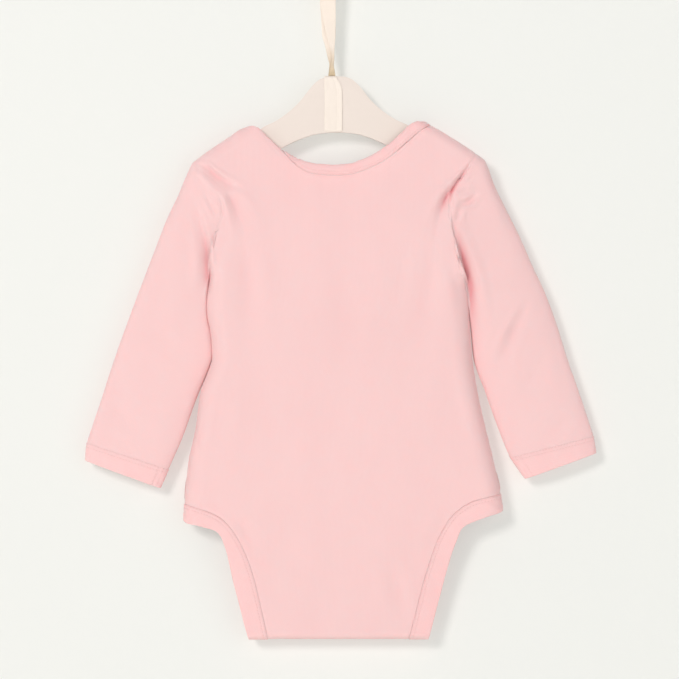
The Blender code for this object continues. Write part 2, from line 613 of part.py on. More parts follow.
def cuff_grid(last, end):
    """Outer face of a cuff band, from the sleeve's end to the wrist."""
    grid = []
    for k in range(CUFF_ROWS + 1):
        t = lerp(CUFF_START, 1.0, k / CUFF_ROWS)
        ox, oz, ix, iz, depth, middle = (lerp(a, b, t) for a, b in zip(last, end))
        ring = []
        for i in range(RING_POINTS):
            share, bulge = section(i)
            ring.append((lerp(ox, ix, share), middle - depth * bulge, lerp(oz, iz, share)))
        grid.append(ring)
    return grid


# ---------------------------------------------------------------- Blender objects
def clear_scene():
    for item in list(bpy.data.objects):
        bpy.data.objects.remove(item, do_unlink=True)


def material(name, colour, roughness):
    """Principled material with one colour and roughness."""
    made = bpy.data.materials.new(name)
    made.use_nodes = True
    shader = made.node_tree.nodes["Principled BSDF"]
    shader.inputs["Base Color"].default_value = (*colour, 1.0)
    shader.inputs["Roughness"].default_value = roughness
    shader.inputs["Metallic"].default_value = 0.0
    return made


def place(name, mesh, finish, collection):
    item = bpy.data.objects.new(name, mesh)
    item.data.materials.append(finish)
    collection.objects.link(item)
    return item


def sheet(name, grid, wall, finish, collection, closed=False, flip=False, offset=-1.0):
    """A wall of cloth on a grid of points; closed joins each row's ends into a ring."""
    rows, columns = len(grid), len(grid[0])
    points = [((x + HANG_OFFSET_X) * MM, y * MM, z * MM) for row in grid for x, y, z in row]
    faces = []
    for r in range(rows - 1):
        for c in range(columns if closed else columns - 1):
            n = (c + 1) % columns
            face = [r * columns + c, (r + 1) * columns + c, (r + 1) * columns + n, r * columns + n]
            faces.append(face[::-1] if flip else face)
    mesh = bpy.data.meshes.new(name)
    mesh.from_pydata(points, [], faces)
    mesh.update()
    mesh.shade_smooth()
    item = place(name, mesh, finish, collection)
    solid = item.modifiers.new("Wall", "SOLIDIFY")
    solid.thickness = wall * MM
    solid.offset = offset
    return item


def prism(name, outline, y0, y1, finish, collection, bevel=HANGER_BEVEL):
    """A flat plate with bevelled edges from an (x, z) outline, between two y values."""
    curve = bpy.data.curves.new(name, "CURVE")
    curve.dimensions = "2D"
    curve.fill_mode = "BOTH"
    curve.extrude = (y1 - y0) / 2 * MM - bevel * MM
    curve.bevel_depth = bevel * MM
    curve.bevel_resolution = 1
    curve.offset = -bevel * MM
    spline = curve.splines.new("POLY")
    spline.points.add(len(outline) - 1)
    spline.use_cyclic_u = True
    for point, (x, z) in zip(spline.points, outline):
        point.co = ((x + HANG_OFFSET_X) * MM, z * MM, 0.0, 1.0)
    item = bpy.data.objects.new(name, curve)
    item.rotation_euler = (math.pi / 2, 0.0, 0.0)
    item.location = (0.0, (y0 + y1) / 2 * MM, 0.0)
    item.data.materials.append(finish)
    collection.objects.link(item)
    weld = item.modifiers.new("Weld", "WELD")
    weld.merge_threshold = 0.00001
    return item


def hanger(finish, collection):
    """The flat hanger plate, with arms that run on inside both shoulders."""
    top = smooth(HANGER_TOP)
    arch = smooth(HANGER_ARCH)
    half_top = [(r, top(r)) for r in spread(HANGER_FIRST, HANGER_REACH, HANGER_TOP_STEPS)]
    end_top, end_low = top(HANGER_REACH), arch(HANGER_REACH)
    middle, radius = (end_top + end_low) / 2, (end_top - end_low) / 2
    end = []
    for angle in (54, 18, -18, -54):
        turn = math.radians(angle)
        out = HANGER_REACH + (HANGER_END - HANGER_REACH) * math.cos(turn)
        end.append((out, middle + radius * math.sin(turn)))
    half_low = [(r, arch(r)) for r in spread(HANGER_REACH, HANGER_FIRST, HANGER_ARCH_STEPS)]
    half = half_top + end + half_low
    outline = [(0.0, top(0.0))] + half + [(0.0, arch(0.0))] + [(-r, z) for r, z in reversed(half)]
    outline = [(HANGER_X + r, z + r * HANGER_TILT) for r, z in outline]
    return prism("hanger", outline, -HANGER_THICK / 2, HANGER_THICK / 2, finish, collection)


def wrap_grid():
    """Ribbon wound once round the middle of the hanger plate."""
    out = HANGER_THICK / 2 + SEAM_GAP + WRAP_THICK
    heights = spread(WRAP_TOP - WRAP_CORNER, WRAP_LOW + WRAP_CORNER, 3)
    path = [(-out, z) for z in heights]
    path += [(-share * (out - 1.0), WRAP_LOW - rise) for share, rise in WRAP_BEND]
    path += [(out, z) for z in reversed(heights)]
    path += [(share * (out - 1.0), WRAP_TOP + rise) for share, rise in WRAP_BEND]
    return [[(x, y, z) for y, z in path] for x in (WRAP_LEFT, WRAP_RIGHT)]


def ribbon_grid():
    """The doubled ribbon: back ply up, over the loop, front ply down."""
    back_x = smooth([(row[0], row[1]) for row in RIBBON])
    back_half = smooth([(row[0], row[2]) for row in RIBBON])
    front_x = smooth([(row[0], row[3]) for row in RIBBON])
    front_half = smooth([(row[0], row[4]) for row in RIBBON])
    _, loop_x, _, _, loop_half = RIBBON[-1]
    heights = spread(RIBBON_LOW, -LOOP_RADIUS, RIBBON_STEPS)
    grid = []

    def apart(z):
        return lerp(PLY_APART, LOOP_RADIUS, ease((z - LOOP_OPEN_Z) / LOOP_OPEN_HEIGHT))

    for z in heights:
        grid.append([(back_x(z) + t * back_half(z), -apart(z), z) for t in (-1.0, 0.0, 1.0)])
    for step in range(1, LOOP_STEPS):
        turn = math.pi * step / LOOP_STEPS
        y, z = -LOOP_RADIUS * math.cos(turn), -LOOP_RADIUS + LOOP_RADIUS * math.sin(turn)
        grid.append([(loop_x + t * loop_half, y, z) for t in (-1.0, 0.0, 1.0)])
    for z in reversed(heights):
        grid.append([(front_x(z) + t * front_half(z), apart(z), z) for t in (-1.0, 0.0, 1.0)])
    return grid


def disc(name, x, y0, y1, radius, finish, collection):
    """A flat round fitting with a bevelled rim, lying on the y axis."""
    bpy.ops.mesh.primitive_cylinder_add(
        vertices=16, radius=radius * MM, depth=(y1 - y0) * MM,
        location=((x + HANG_OFFSET_X) * MM, (y0 + y1) / 2 * MM, SNAP_Z * MM),
        rotation=(math.pi / 2, 0.0, 0.0))
    item = bpy.context.object
    item.name = name
    item.data.materials.append(finish)
    for owner in list(item.users_collection):
        owner.objects.unlink(item)
    collection.objects.link(item)
    rim = item.modifiers.new("Rim", "BEVEL")
    rim.width = 0.4 * MM
    rim.segments = 1
    rim.limit_method = "ANGLE"
    return item


def build():
    clear_scene()
    collection = bpy.data.collections.new("baby_bodysuit_on_hanger")
    bpy.context.scene.collection.children.link(collection)
    knit = material("pink_interlock", (0.93, 0.62, 0.60), 0.9)
    rib = material("pink_rib_binding", (0.92, 0.60, 0.58), 0.9)
    wood = material("pale_hanger_plate", (0.86, 0.76, 0.69), 0.55)
    satin = material("cream_ribbon", (0.93, 0.84, 0.74), 0.5)
    snap = material("pink_snap", (0.88, 0.60, 0.58), 0.35)

    sheet("back_panel", back_grid(), CLOTH, knit, collection)
    sheet("front_panel", front_grid(), CLOTH, knit, collection, flip=True)
    sheet("neck_binding_back", back_neck_grid(), BAND, rib, collection)
    sheet("neck_binding_front", front_neck_grid(), BAND, rib, collection, flip=True)
    sheet("leg_binding_left", leg_grid(LEG_LEFT, -1), BAND, rib, collection)
    sheet("leg_binding_right", leg_grid(LEG_RIGHT, 1), BAND, rib, collection, flip=True)
    sheet("sleeve_left", sleeve_grid(SLEEVE_LEFT, True), CLOTH, knit, collection, closed=True)
    sheet("sleeve_right", sleeve_grid(SLEEVE_RIGHT, False), CLOTH, knit, collection, closed=True, flip=True)
    sheet("cuff_left", cuff_grid(SLEEVE_LEFT[-1], CUFF_LEFT_END), BAND, rib, collection, closed=True)
    sheet("cuff_right", cuff_grid(SLEEVE_RIGHT[-1], CUFF_RIGHT_END), BAND, rib, collection,
          closed=True, flip=True)
    hanger(wood, collection)
    sheet("hanger_wrap", wrap_grid(), WRAP_THICK, satin, collection, closed=True, flip=True)
    sheet("ribbon", ribbon_grid(), RIBBON_THICK, satin, collection, offset=0.0)
    for number, x in enumerate(SNAP_X, start=1):
        disc(f"snap_cap_{number}", x, FLAP_DEPTH + SEAM_GAP, FLAP_DEPTH + SEAM_GAP + CAP_THICK,
             CAP_RADIUS, snap, collection)
        front_face = front_y(x, SNAP_Z) + SEAM_GAP
        flap_inside = FLAP_DEPTH - CLOTH - SEAM_GAP
        disc(f"snap_stud_{number}", x, front_face, flap_inside, STUD_RADIUS, snap, collection)


build()
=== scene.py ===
import logging
import math
from collections.abc import Sequence
from dataclasses import dataclass, field
from enum import Enum

import bpy
import numpy as np
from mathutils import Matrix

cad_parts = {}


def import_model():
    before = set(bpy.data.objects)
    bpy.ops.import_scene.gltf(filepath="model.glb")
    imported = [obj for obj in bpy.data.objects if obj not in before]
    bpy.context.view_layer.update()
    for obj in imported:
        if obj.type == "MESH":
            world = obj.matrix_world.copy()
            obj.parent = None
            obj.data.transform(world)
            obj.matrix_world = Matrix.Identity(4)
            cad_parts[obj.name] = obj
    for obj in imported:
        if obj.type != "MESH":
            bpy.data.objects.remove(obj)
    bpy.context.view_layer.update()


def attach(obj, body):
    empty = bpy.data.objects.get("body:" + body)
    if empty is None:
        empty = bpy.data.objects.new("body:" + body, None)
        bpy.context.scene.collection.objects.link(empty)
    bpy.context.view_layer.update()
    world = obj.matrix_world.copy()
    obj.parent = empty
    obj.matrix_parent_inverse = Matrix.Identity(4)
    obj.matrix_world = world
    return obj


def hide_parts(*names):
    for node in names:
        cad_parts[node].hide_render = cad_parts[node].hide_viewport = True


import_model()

# A long-sleeved baby bodysuit that hangs by its shoulders on a flat hanger, its back towards -Y.
# Tables are in millimetres on the garment's own centre line, with z measured down from the top
# of the ribbon's loop, and every mesh is written in metres.

Array = np.ndarray
MM = 0.001
HANG_OFFSET_X = 9.2      # the garment hangs this far to the right of its hook
BODY = "root"
LOG = logging.getLogger("bodysuit")


class Side(Enum):
    """The wearer's side that a piece belongs to; the value is the sign of its x."""

    LEFT = -1
    RIGHT = 1

    @property
    def word(self) -> str:
        """Its name inside the names of pieces."""
        return self.name.lower()


# ---------------------------------------------------------------- cloth and seams
CLOTH = 1.1              # wall of the knit cloth
BAND = 1.7               # wall of the doubled bindings and cuffs
BAND_LIFT = 0.35         # how far a binding stands proud of its panel
SEAM_GAP = 0.3           # gap between two pieces at a seam
BAND_WIDTH = 9.0         # neck binding
UNDER_LAP = 2.7          # how far the front panel lies under the lap
LAP_COVER, LAP_RISE = 6.0, 16.0       # below the lap's edge: where the front starts to rise, and over what

# ---------------------------------------------------------------- rounding of the hung garment
SIDE_ROUND = 15.0        # width over which a side rounds away
RIDGE_ROUND = 9.0        # height over which the shoulder rounds over
CROTCH_ROUND = 5.5       # height over which the crotch fold rounds under
NECK_CREST = 6.4         # the free back neck edge lies this far behind the hanger's middle
SHOULDER_LEFT, SHOULDER_RIGHT = -76.0, 60.0     # where the cloth leaves the hanger's arms
SHOULDER_FADE = 10.0     # width over which a shoulder goes over to the neck edge
TOP_ZONE = 30.0          # rows this far below the shoulder follow its line
FADE_ZONE = 150.0        # rows this far below the shoulder are level
SIDE_PULL = 5.0          # how closely the shoulders' rows keep a side's curve to that side
CROTCH_Z = -535.6        # the fold at the crotch, the lowest edge
FLAP_Z = -504.0          # the snap flap's end, on the front
FLAP_DEPTH = 6.8         # y of its outer face
FRONT_SCOOP, FRONT_LIFT = 5.0, 3.0    # how far the front leg openings are cut further in and up
FRONT_END_Z = -527.0     # the front panel's end, under the flap
FAR_BELOW = 99.0         # a distance below the fold line that has no rounding left
ROLL_DEPTH, ROLL_ROUND = 3.2, 5.0     # how far the rolled neck edge turns inwards, and over what width
FLAP_WAVE, FLAP_UNEVEN = 24.0, 0.175  # length and height of the snap flap's unevenness
FLAP_FLAT, FLAP_RISE = 6.0, 8.0       # height up to which the flap is even, and over which that grows

# ---------------------------------------------------------------- sewn edges and creases
PUCKER = 0.13            # height of the puckers beside a sewn edge
PUCKER_WAVE, PUCKER_REACH, PUCKER_SLANT = 7.0, 5.0, 0.7   # their length, reach and slant
DIP_REACH = 1.3          # a sewn edge is drawn in over this distance
NECK_DIP = 0.4           # how far a panel's first edge is drawn in
ARM_DIP = {Side.LEFT: 0.13, Side.RIGHT: 0.28}       # how far the cloth is drawn in at an armhole
CREASE_Z, CREASE_REACH, CREASE_DIP = -165.0, 11.0, 0.75   # the deep crease at the right armhole's seam
LAP_SEWN, SIDE_SEWN = 0.3, 0.35       # share of the drawing in along the laps' and the sides' edges
CREASE_SHADE_FULL, CREASE_SHADE_POWER = 5.0, 2.4  # depth at which a crease's painted shade is full, and how late that comes
STITCH_LIFT = -0.04      # height of the stitches over their band
SNAP_X = (-30.0, 0.0, 30.0)           # the press snaps, from the left
RIBBON_HALF = 6.3        # half width of the hanging ribbon
SIDE_GAP = 0.06          # a panel stops this far from its side seams
SIDE_SEAM = 0.3          # gap between back and front along the rounded side
SLOPE_REACH, SLOPE_POWER = 2.0, 1.3   # how the neck seam's slope is measured, and how its gap grows with it

# ---------------------------------------------------------------- bindings, cuffs and sleeves
NECK_ROWS, LEG_ROWS, CUFF_ROWS = (0.9, 3.2), (0.8, 2.9), (0.7, 3.2)    # rows of stitches, from the seam
ROW_DIP, ROW_REACH = 0.16, 0.45       # depth and width of the trough at a band's outer row of stitches
SEAM_REACH = 0.9         # a band is drawn in this far from its seam
CROWN = 0.1              # a band is this much fuller in its middle
BAND_COLUMNS = 24        # points across a band's outer face
BAND_UNEVEN, BAND_WAVE = 0.101, 9.0   # height and length of a binding's unevenness
ROUND_MOST = 0.3         # a band's edges are rounded over this share of its width at most
TANGENT_REACH = 0.02     # share of the width over which its direction is measured
LEG_GAP = 0.16           # a leg binding starts this far outside its seam's path
RING_CROWDING = 1.35     # a sleeve's rings stand closer at the armhole
TUCK, TUCK_FROM = 1.8, 0.7            # how far a sleeve's inner part, from this share, lies under the body
TUCK_SOON = 0.7          # station from which it is tucked in
TUCK_END, TUCK_FADE = -334.0, 26.0    # height at which that ends, and over which it fades
SLEEVE_END_DIP = 0.08    # how far a sleeve is drawn in at its cuff
UNDER_CUFF, UNDER_CUFF_IN = 0.5, 0.3  # a sleeve ends this share of a ring's step, and so deep, under its cuff
CUFF_LIFT = 0.12         # a cuff lies nearly level with its sleeve
CUFF_UNEVEN, CUFF_WAVE = 0.1, 10.0    # height and length of its unevenness
CLOSING_PLACE, CLOSING_DIP = 6.2, 0.4   # the seam that closes a cuff: from its inner edge, and how deep
CLOSING_DIPS = ((1.0, 1.0, 0.55), (0.5, 0.45, 0.5))    # share of its depth, share of its place, half width
CLOSING_STITCHES = 1.3   # its stitches lie this far beside it

# ---------------------------------------------------------------- outlines (x, z)
FOLD_LINE = (            # shoulder, neck edge, shoulder, as seen from behind
    (-118.4, -155.2), (-105.6, -145.6), (-91.2, -136), (-76.8, -126.8), (-70.4, -125.2),
    (-65.6, -126.6), (-56, -135.2), (-48, -142.4), (-40, -148), (-32, -152),
    (-16, -155.6), (-4, -156.2), (8, -155.2), (16, -152.8), (24, -149.4),
    (32, -144.8), (40, -139.2), (48, -132), (57.6, -123.4), (63.2, -121.2),
    (68, -121.8), (73.6, -124.8), (98.4, -140), (108.8, -146.8), (116.8, -152.8),
)
FRONT_NECK = (           # top of the front panel, under the laps at both ends
    (-118.4, -166.2), (-91.2, -148), (-77, -140), (-66, -140), (-56, -147),
    (-40, -160), (-20, -169), (-3, -171.5), (14, -169), (34, -158),
    (50, -144.5), (60, -137), (70, -135.5), (80, -141), (98.4, -152.5), (108.8, -159),
)
SEAM_DROP = (            # x, drop of the back binding's seam below the fold line; < 0 is in front
    (-118.4, -36), (-104, -28), (-92, -18), (-84, -11), (-78, -7), (-73, -5.4),
    (-67, -4.8), (-58, -4.2), (-50, -2.4), (-44, 0.6), (-38, 4.4), (-31, 7.4),
    (-24, 8.7), (-4, 9), (16, 9.6), (32, 11.2), (48, 12.8), (56, 13.6), (60, 12.4),
    (64, 9.6), (68, 6), (72, 1.5), (76, -2.5), (80, -6.5), (98.4, -22), (108.8, -30),
)
EDGE_DROP = (            # x, drop of the back binding's edge
    (-118.4, -46), (-104, -38), (-92, -28.5), (-84, -20), (-78, -16), (-73, -14.4),
    (-67, -13.6), (-58, -12.6), (-50, -10.4), (-44, -7.6), (-38, -4.2), (-31, -1.2),
    (-24, 0), (62, 0), (66, -0.8), (69, -2.4), (72, -7), (76, -12),
    (80, -16.5), (98.4, -32.5), (108.8, -40.5),
)
SIDE_LEFT = (            # z, x of the left armhole and side, shoulder tip to leg seam
    (-155.2, -118.4), (-166.4, -108), (-174.4, -101.6), (-181.6, -96.8), (-189.6, -94.4),
    (-197.6, -94.4), (-205.6, -96.8), (-214.4, -100), (-224, -102.4), (-234.4, -104),
    (-245.6, -104.8), (-264, -106.8), (-276, -106.2), (-288, -103.8), (-300, -102.3),
    (-310, -101.9), (-321, -104.8), (-337.6, -111), (-366.4, -115), (-395, -121),
    (-427.2, -124),
)
SIDE_RIGHT = (
    (-146.8, 108.8), (-157.6, 104), (-164, 99.2), (-174.4, 91.2), (-180, 88.8),
    (-187.2, 87.2), (-196, 87.6), (-204, 88.8), (-216, 91.2), (-228, 94.4),
    (-240, 98), (-252.8, 102.4), (-264, 103.2), (-280, 104), (-312, 106.4),
    (-337.6, 110.4), (-366.4, 116.8), (-395, 123.8), (-419.2, 128.8),
)
LEG_LEFT = (             # seam x, seam z, edge x, edge z: hip corner to crotch fold
    (-124, -427.2, -124.8, -440.8), (-121.5, -428, -122.8, -442.4),
    (-114, -430.2, -117, -443.8), (-104, -433.4, -109, -445.6),
    (-94.4, -438.4, -100, -448.2), (-86.5, -446.6, -95, -452.6),
    (-80, -456.8, -92.3, -459), (-74, -469.5, -89.4, -469),
    (-68.8, -484.8, -85.8, -485.6), (-64, -504, -80.6, -506),
    (-60, -521.6, -76.2, -523.6), (-57, -535.6, -72.8, -535.6),
)
LEG_RIGHT = (
    (128.8, -419.2, 130.8, -432.8), (126.2, -419.9, 128.4, -434.2), (118.4, -421.6, 121, -436.4),
    (107, -424.6, 111.5, -439.6), (97.6, -429.6, 102.6, -443.2), (90, -436.2, 97.2, -447.4),
    (84, -444.6, 94, -455), (77.6, -457.2, 90.2, -465.4), (72.2, -472.2, 86.6, -477.6),
    (66.2, -492, 81.6, -496), (60.8, -513.6, 77, -513.6), (55.2, -535.6, 71.4, -535.6),
)
UNDERARM = {Side.LEFT: -245.6, Side.RIGHT: -252.8}
ROUND_LEFT = (           # z, x where the left outline rounds away, above the underarm and below the hip
    (-120, -150), (-155, -146), (-190, -140), (-212, -131), (-230, -117),
    (-441, -125), (-452, -114), (-468, -98), (-486, -92), (-507, -87),
    (-540, -79),
) + tuple(row for row in SIDE_LEFT if row[0] <= UNDERARM[Side.LEFT])
ROUND_RIGHT = (
    (-120, 142), (-155, 140), (-190, 134), (-215, 124), (-236, 110),
    (-433, 131), (-447, 115), (-463, 99), (-480, 92.5), (-507, 85),
    (-540, 77.5),
) + tuple(row for row in SIDE_RIGHT if row[0] <= UNDERARM[Side.RIGHT])
BACK_DEPTH = (           # z, how far the back panel stands out behind the hanger's middle
    (-120, 8.6), (-155, 9), (-200, 12), (-260, 14.5), (-330, 16), (-390, 15),
    (-430, 12), (-470, 8.6), (-510, 6.2), (-540, 5.6),
)
FRONT_DEPTH = (
    (-120, 9.4), (-155, 9.6), (-200, 11.5), (-260, 13), (-330, 13.5), (-390, 12),
    (-430, 9.6), (-470, 6.6), (-500, 4.2), (-540, 3.4),
)
SLEEVE_LEFT = (          # outer x, outer z, inner x, inner z, half depth, y of the middle
    (-118.4, -155.2, -104.8, -245.6, 8, 0), (-123, -165, -106, -251, 8, 0),
    (-129.5, -181, -107, -258, 8.5, 0), (-138, -199, -107.6, -267, 9, 0.2),
    (-147, -222.5, -107, -278, 9, 0.5), (-156.8, -248, -104.4, -292, 9, 0.8),
    (-168.8, -280, -103, -306.5, 8.8, 1.2), (-175.6, -298.5, -106.6, -323.5, 8.6, 1.6),
    (-183, -320, -115.2, -345.6, 8.3, 2), (-192.4, -349, -125.6, -374.4, 7.8, 2.4),
    (-202.4, -378.5, -136.8, -400, 7.2, 2.8),
)
SLEEVE_RIGHT = (
    (108.8, -146.8, 102.4, -252.8, 8, 0), (116.6, -152.8, 103.4, -257.6, 8, 0),
    (124.4, -172.8, 104.6, -264, 8.5, 0), (134.4, -193.6, 105.4, -273.6, 9, 0.4),
    (144, -213, 106.4, -284.8, 9, 0.8), (154.4, -237, 107.4, -296, 9, 1.2),
    (164.8, -259.2, 108.6, -308.8, 8.8, 1.6), (173.6, -283, 111, -321.6, 8.6, 2),
    (183.2, -313.6, 116.4, -337.6, 8.3, 2.2), (190, -332.8, 123.2, -356.8, 7.8, 2.4),
    (197.6, -355.2, 130.4, -376, 7.4, 2.6), (203.4, -373.2, 136.4, -390.4, 7.2, 2.8),
)
CUFF_END = {Side.LEFT: (-203.8, -393, -143.4, -415.2, 6.8, 3.2),
            Side.RIGHT: (205.8, -387, 148.6, -407.8, 6.8, 3.2)}
SIDE = {Side.LEFT: SIDE_LEFT, Side.RIGHT: SIDE_RIGHT}
LEG = {Side.LEFT: LEG_LEFT, Side.RIGHT: LEG_RIGHT}
SLEEVE = {Side.LEFT: SLEEVE_LEFT, Side.RIGHT: SLEEVE_RIGHT}

# ---------------------------------------------------------------- rows and columns
COLUMN_GROUPS = ((0, 0.23, 62), (0.23, 0.77, 44), (0.77, 1, 62))    # start, end, columns
SHOULDER_DROPS = (0.54, 2.1, 4.5, 9, 16, 23, 30)
LAP_DROPS = (-36, -30, -23, -16, -9, -4.5, -2.1, -0.54, 0)
ROW_STEP = 0.5           # least distance between two rows of the top zone
FRONT_TOP = 43.0         # the front panel's top rows reach this far below the shoulder
ARM_ROWS = 7             # steps of a sleeve's first ring from the shoulder to the underarm
LEG_SHARES = (0, 0.012, 0.04, 0.09, 0.17, 0.26, 0.35, 0.45, 0.56, 0.68, 0.84, 1)
SCOOP_ROWS = 5           # rows from the hip over which the front leg opening is scooped in
SECTION_POWER = 2.4      # roundness of a flattened sleeve section
SLEEVE_BLEND = 5.0       # stations over which the armhole's curve fades out
RING_FINE = 144          # points round a sleeve


# ---------------------------------------------------------------- curves
class Curve:
    """Smooth curve through (key, value) rows that never overshoots them."""

    def __init__(self, rows: Sequence[tuple[float, float]]) -> None:
        """Sort the rows and work out the tangent at each of them.

        Args:
            rows: The (key, value) pairs, in any order.
        """
        ordered = sorted(rows)
        self.keys, self.values = np.array(ordered, float).T
        self.steps = np.diff(self.keys)
        slopes = np.diff(self.values) / self.steps
        self.tangents = np.zeros(len(ordered))
        self.tangents[0], self.tangents[-1] = slopes[0], slopes[-1]
        for i in range(1, len(ordered) - 1):
            if slopes[i - 1] * slopes[i] > 0:
                before = 2 * self.steps[i] + self.steps[i - 1]
                after = self.steps[i] + 2 * self.steps[i - 1]
                self.tangents[i] = (before + after) / (before / slopes[i - 1] + after / slopes[i])

    @classmethod
    def through(cls, values: Sequence[float]) -> "Curve":
        """A curve through values at the keys 0, 1, 2 and on."""
        return cls(list(enumerate(values)))

    def __call__(self, key: Array | float) -> Array:
        """Values at one key or at an array of keys, held at both ends."""
        key = np.clip(key, self.keys[0], self.keys[-1])
        i = np.clip(np.searchsorted(self.keys, key) - 1, 0, len(self.steps) - 1)
        t = (key - self.keys[i]) / self.steps[i]
        start, end = self.values[i], self.values[i + 1]
        lean = self.steps[i] * ((1 - t) * self.tangents[i] - t * self.tangents[i + 1])
        return (1 + 2 * t) * (1 - t) ** 2 * start + t * t * (3 - 2 * t) * end + t * (1 - t) * lean


def ease(t: Array | float) -> Array:
    """Smooth step from 0 to 1."""
    t = np.clip(t, 0.0, 1.0)
    return t * t * (3 - 2 * t)


def lerp(a: Array | float, b: Array | float, t: Array | float) -> Array:
    """Value a share t of the way from a to b."""
    return a + (b - a) * t


def grid_of(x: Array | float, y: Array | float, z: Array | float) -> Array:
    """Points from their coordinates, which are stretched to one shape."""
    return np.stack(np.broadcast_arrays(x, y, z), axis=-1)


def rounding(t: Array | float) -> Array:
    """Quarter-round rise from 0 at the edge to 1 at t = 1 and beyond."""
    t = np.clip(t, 0.0, 1.0)
    return np.sqrt(np.maximum(0.0, 1 - (1 - t) ** 2))


def ripple(along: Array, seed: int, wave: float, count: int = 6) -> Array:
    """Uneven wave of about unit height, made of a few sines.

    Args:
        along: Distance along the wave, in millimetres.
        seed: Seed of the sines' phases.
        wave: Mean wavelength, in millimetres.
        count: Number of sines.

    Returns:
        The wave's height at each distance.
    """
    draw = np.random.default_rng(seed)
    total = np.zeros_like(along)
    for _ in range(count):
        length = wave * draw.uniform(0.6, 1.8)
        total += np.sin(2 * math.pi * (along / length + draw.random()))
    return total / math.sqrt(count)


def normals_of(grid: Array, facing: float) -> Array:
    """Unit normals of a grid of points; facing is +1 or -1 for its winding."""
    normal = np.cross(np.gradient(grid, axis=0), np.gradient(grid, axis=1)) * facing
    return normal / np.maximum(np.linalg.norm(normal, axis=2, keepdims=True), 1e-9)


def run_length(points: Array, axis: int) -> Array:
    """Distance run along one axis of a grid of points, from 0 at its start."""
    steps = np.linalg.norm(np.diff(points, axis=axis), axis=-1)
    start = np.zeros_like(np.take(steps, [0], axis=axis))
    return np.concatenate([start, np.cumsum(steps, axis=axis)], axis=axis)


# ---------------------------------------------------------------- folds of the cloth
FOLD_PARTS = 5           # straight parts between two points of a fold's path
FOLD_START = 0.08        # a fold starts and ends with this share of its growth
RIDGE_AT, RIDGE_WIDTH = 2.0, 0.8      # place and width of its ridges, as shares of its width


@dataclass(frozen=True)
class Fold:
    """A soft trough in hung cloth, with low ridges beside it.

    Attributes:
        path: Points (x, z) that its bottom runs through.
        width: Half width at the start, and at the end if two are given.
        depth: Depth at its deepest place; a negative one is a ridge.
        peak: Share of its length at which it is deepest.
        ridge: Height of the ridges beside it, as a share of the depth.
        lean: How much more of the ridge stands on the path's left (1) or right (-1).
        set_in: Height below the fold line over which it sets in.
        form: 2 is a round trough; a lower number gives a sharper crease.
        sides: Share of the width on the side where a path down the cloth has its right and its left.
    """

    path: tuple[tuple[float, float], ...]
    width: tuple[float, float]
    depth: float
    peak: float = 0.5
    ridge: float = 0.25
    lean: float = 0.0
    set_in: float = 10.0
    form: float = 2.0
    sides: tuple[float, float] = (1.0, 1.0)

    def at(self, x: Array, z: Array) -> Array:
        """Depth of the trough at places (x, z)."""
        steps = np.linspace(0, len(self.path) - 1, FOLD_PARTS * (len(self.path) - 1) + 1)
        line_x, line_z = (Curve.through(values)(steps) for values in zip(*self.path))
        best, offset, place = np.full(x.shape, np.inf), np.zeros(x.shape), np.zeros(x.shape)
        parts = len(steps) - 1
        for i in range(parts):
            dx, dz = line_x[i + 1] - line_x[i], line_z[i + 1] - line_z[i]
            length = math.hypot(dx, dz)
            t = np.clip(((x - line_x[i]) * dx + (z - line_z[i]) * dz) / length ** 2, 0.0, 1.0)
            gap = np.hypot(x - line_x[i] - t * dx, z - line_z[i] - t * dz)
            side = ((x - line_x[i]) * dz - (z - line_z[i]) * dx) / length
            near = gap < best
            best = np.where(near, gap, best)
            offset = np.where(near, side, offset)
            place = np.where(near, (i + t) / parts, place)
        grow = np.where(place < self.peak, place / self.peak, (1 - place) / (1 - self.peak))
        width = lerp(self.width[0], self.width[1], place) * np.where(offset < 0, *self.sides)
        share = best / width
        tilt = 1 + self.lean * np.clip(offset / width, -1, 1)
        ridge = self.ridge * tilt * np.exp(-((share - RIDGE_AT) / RIDGE_WIDTH) ** 2)
        return self.depth * (np.exp(-share ** self.form) - ridge) * ease(lerp(FOLD_START, 1, grow))


def folded(folds: Sequence[Fold], x: Array, z: Array, below: Array) -> Array:
    """Total depth of some folds at places (x, z), a distance below the fold line."""
    total = np.zeros(np.broadcast(x, z).shape)
    x, z = np.broadcast_to(x, total.shape), np.broadcast_to(z, total.shape)
    for fold in folds:
        total += fold.at(x, z) * ease(below / fold.set_in)
    return total


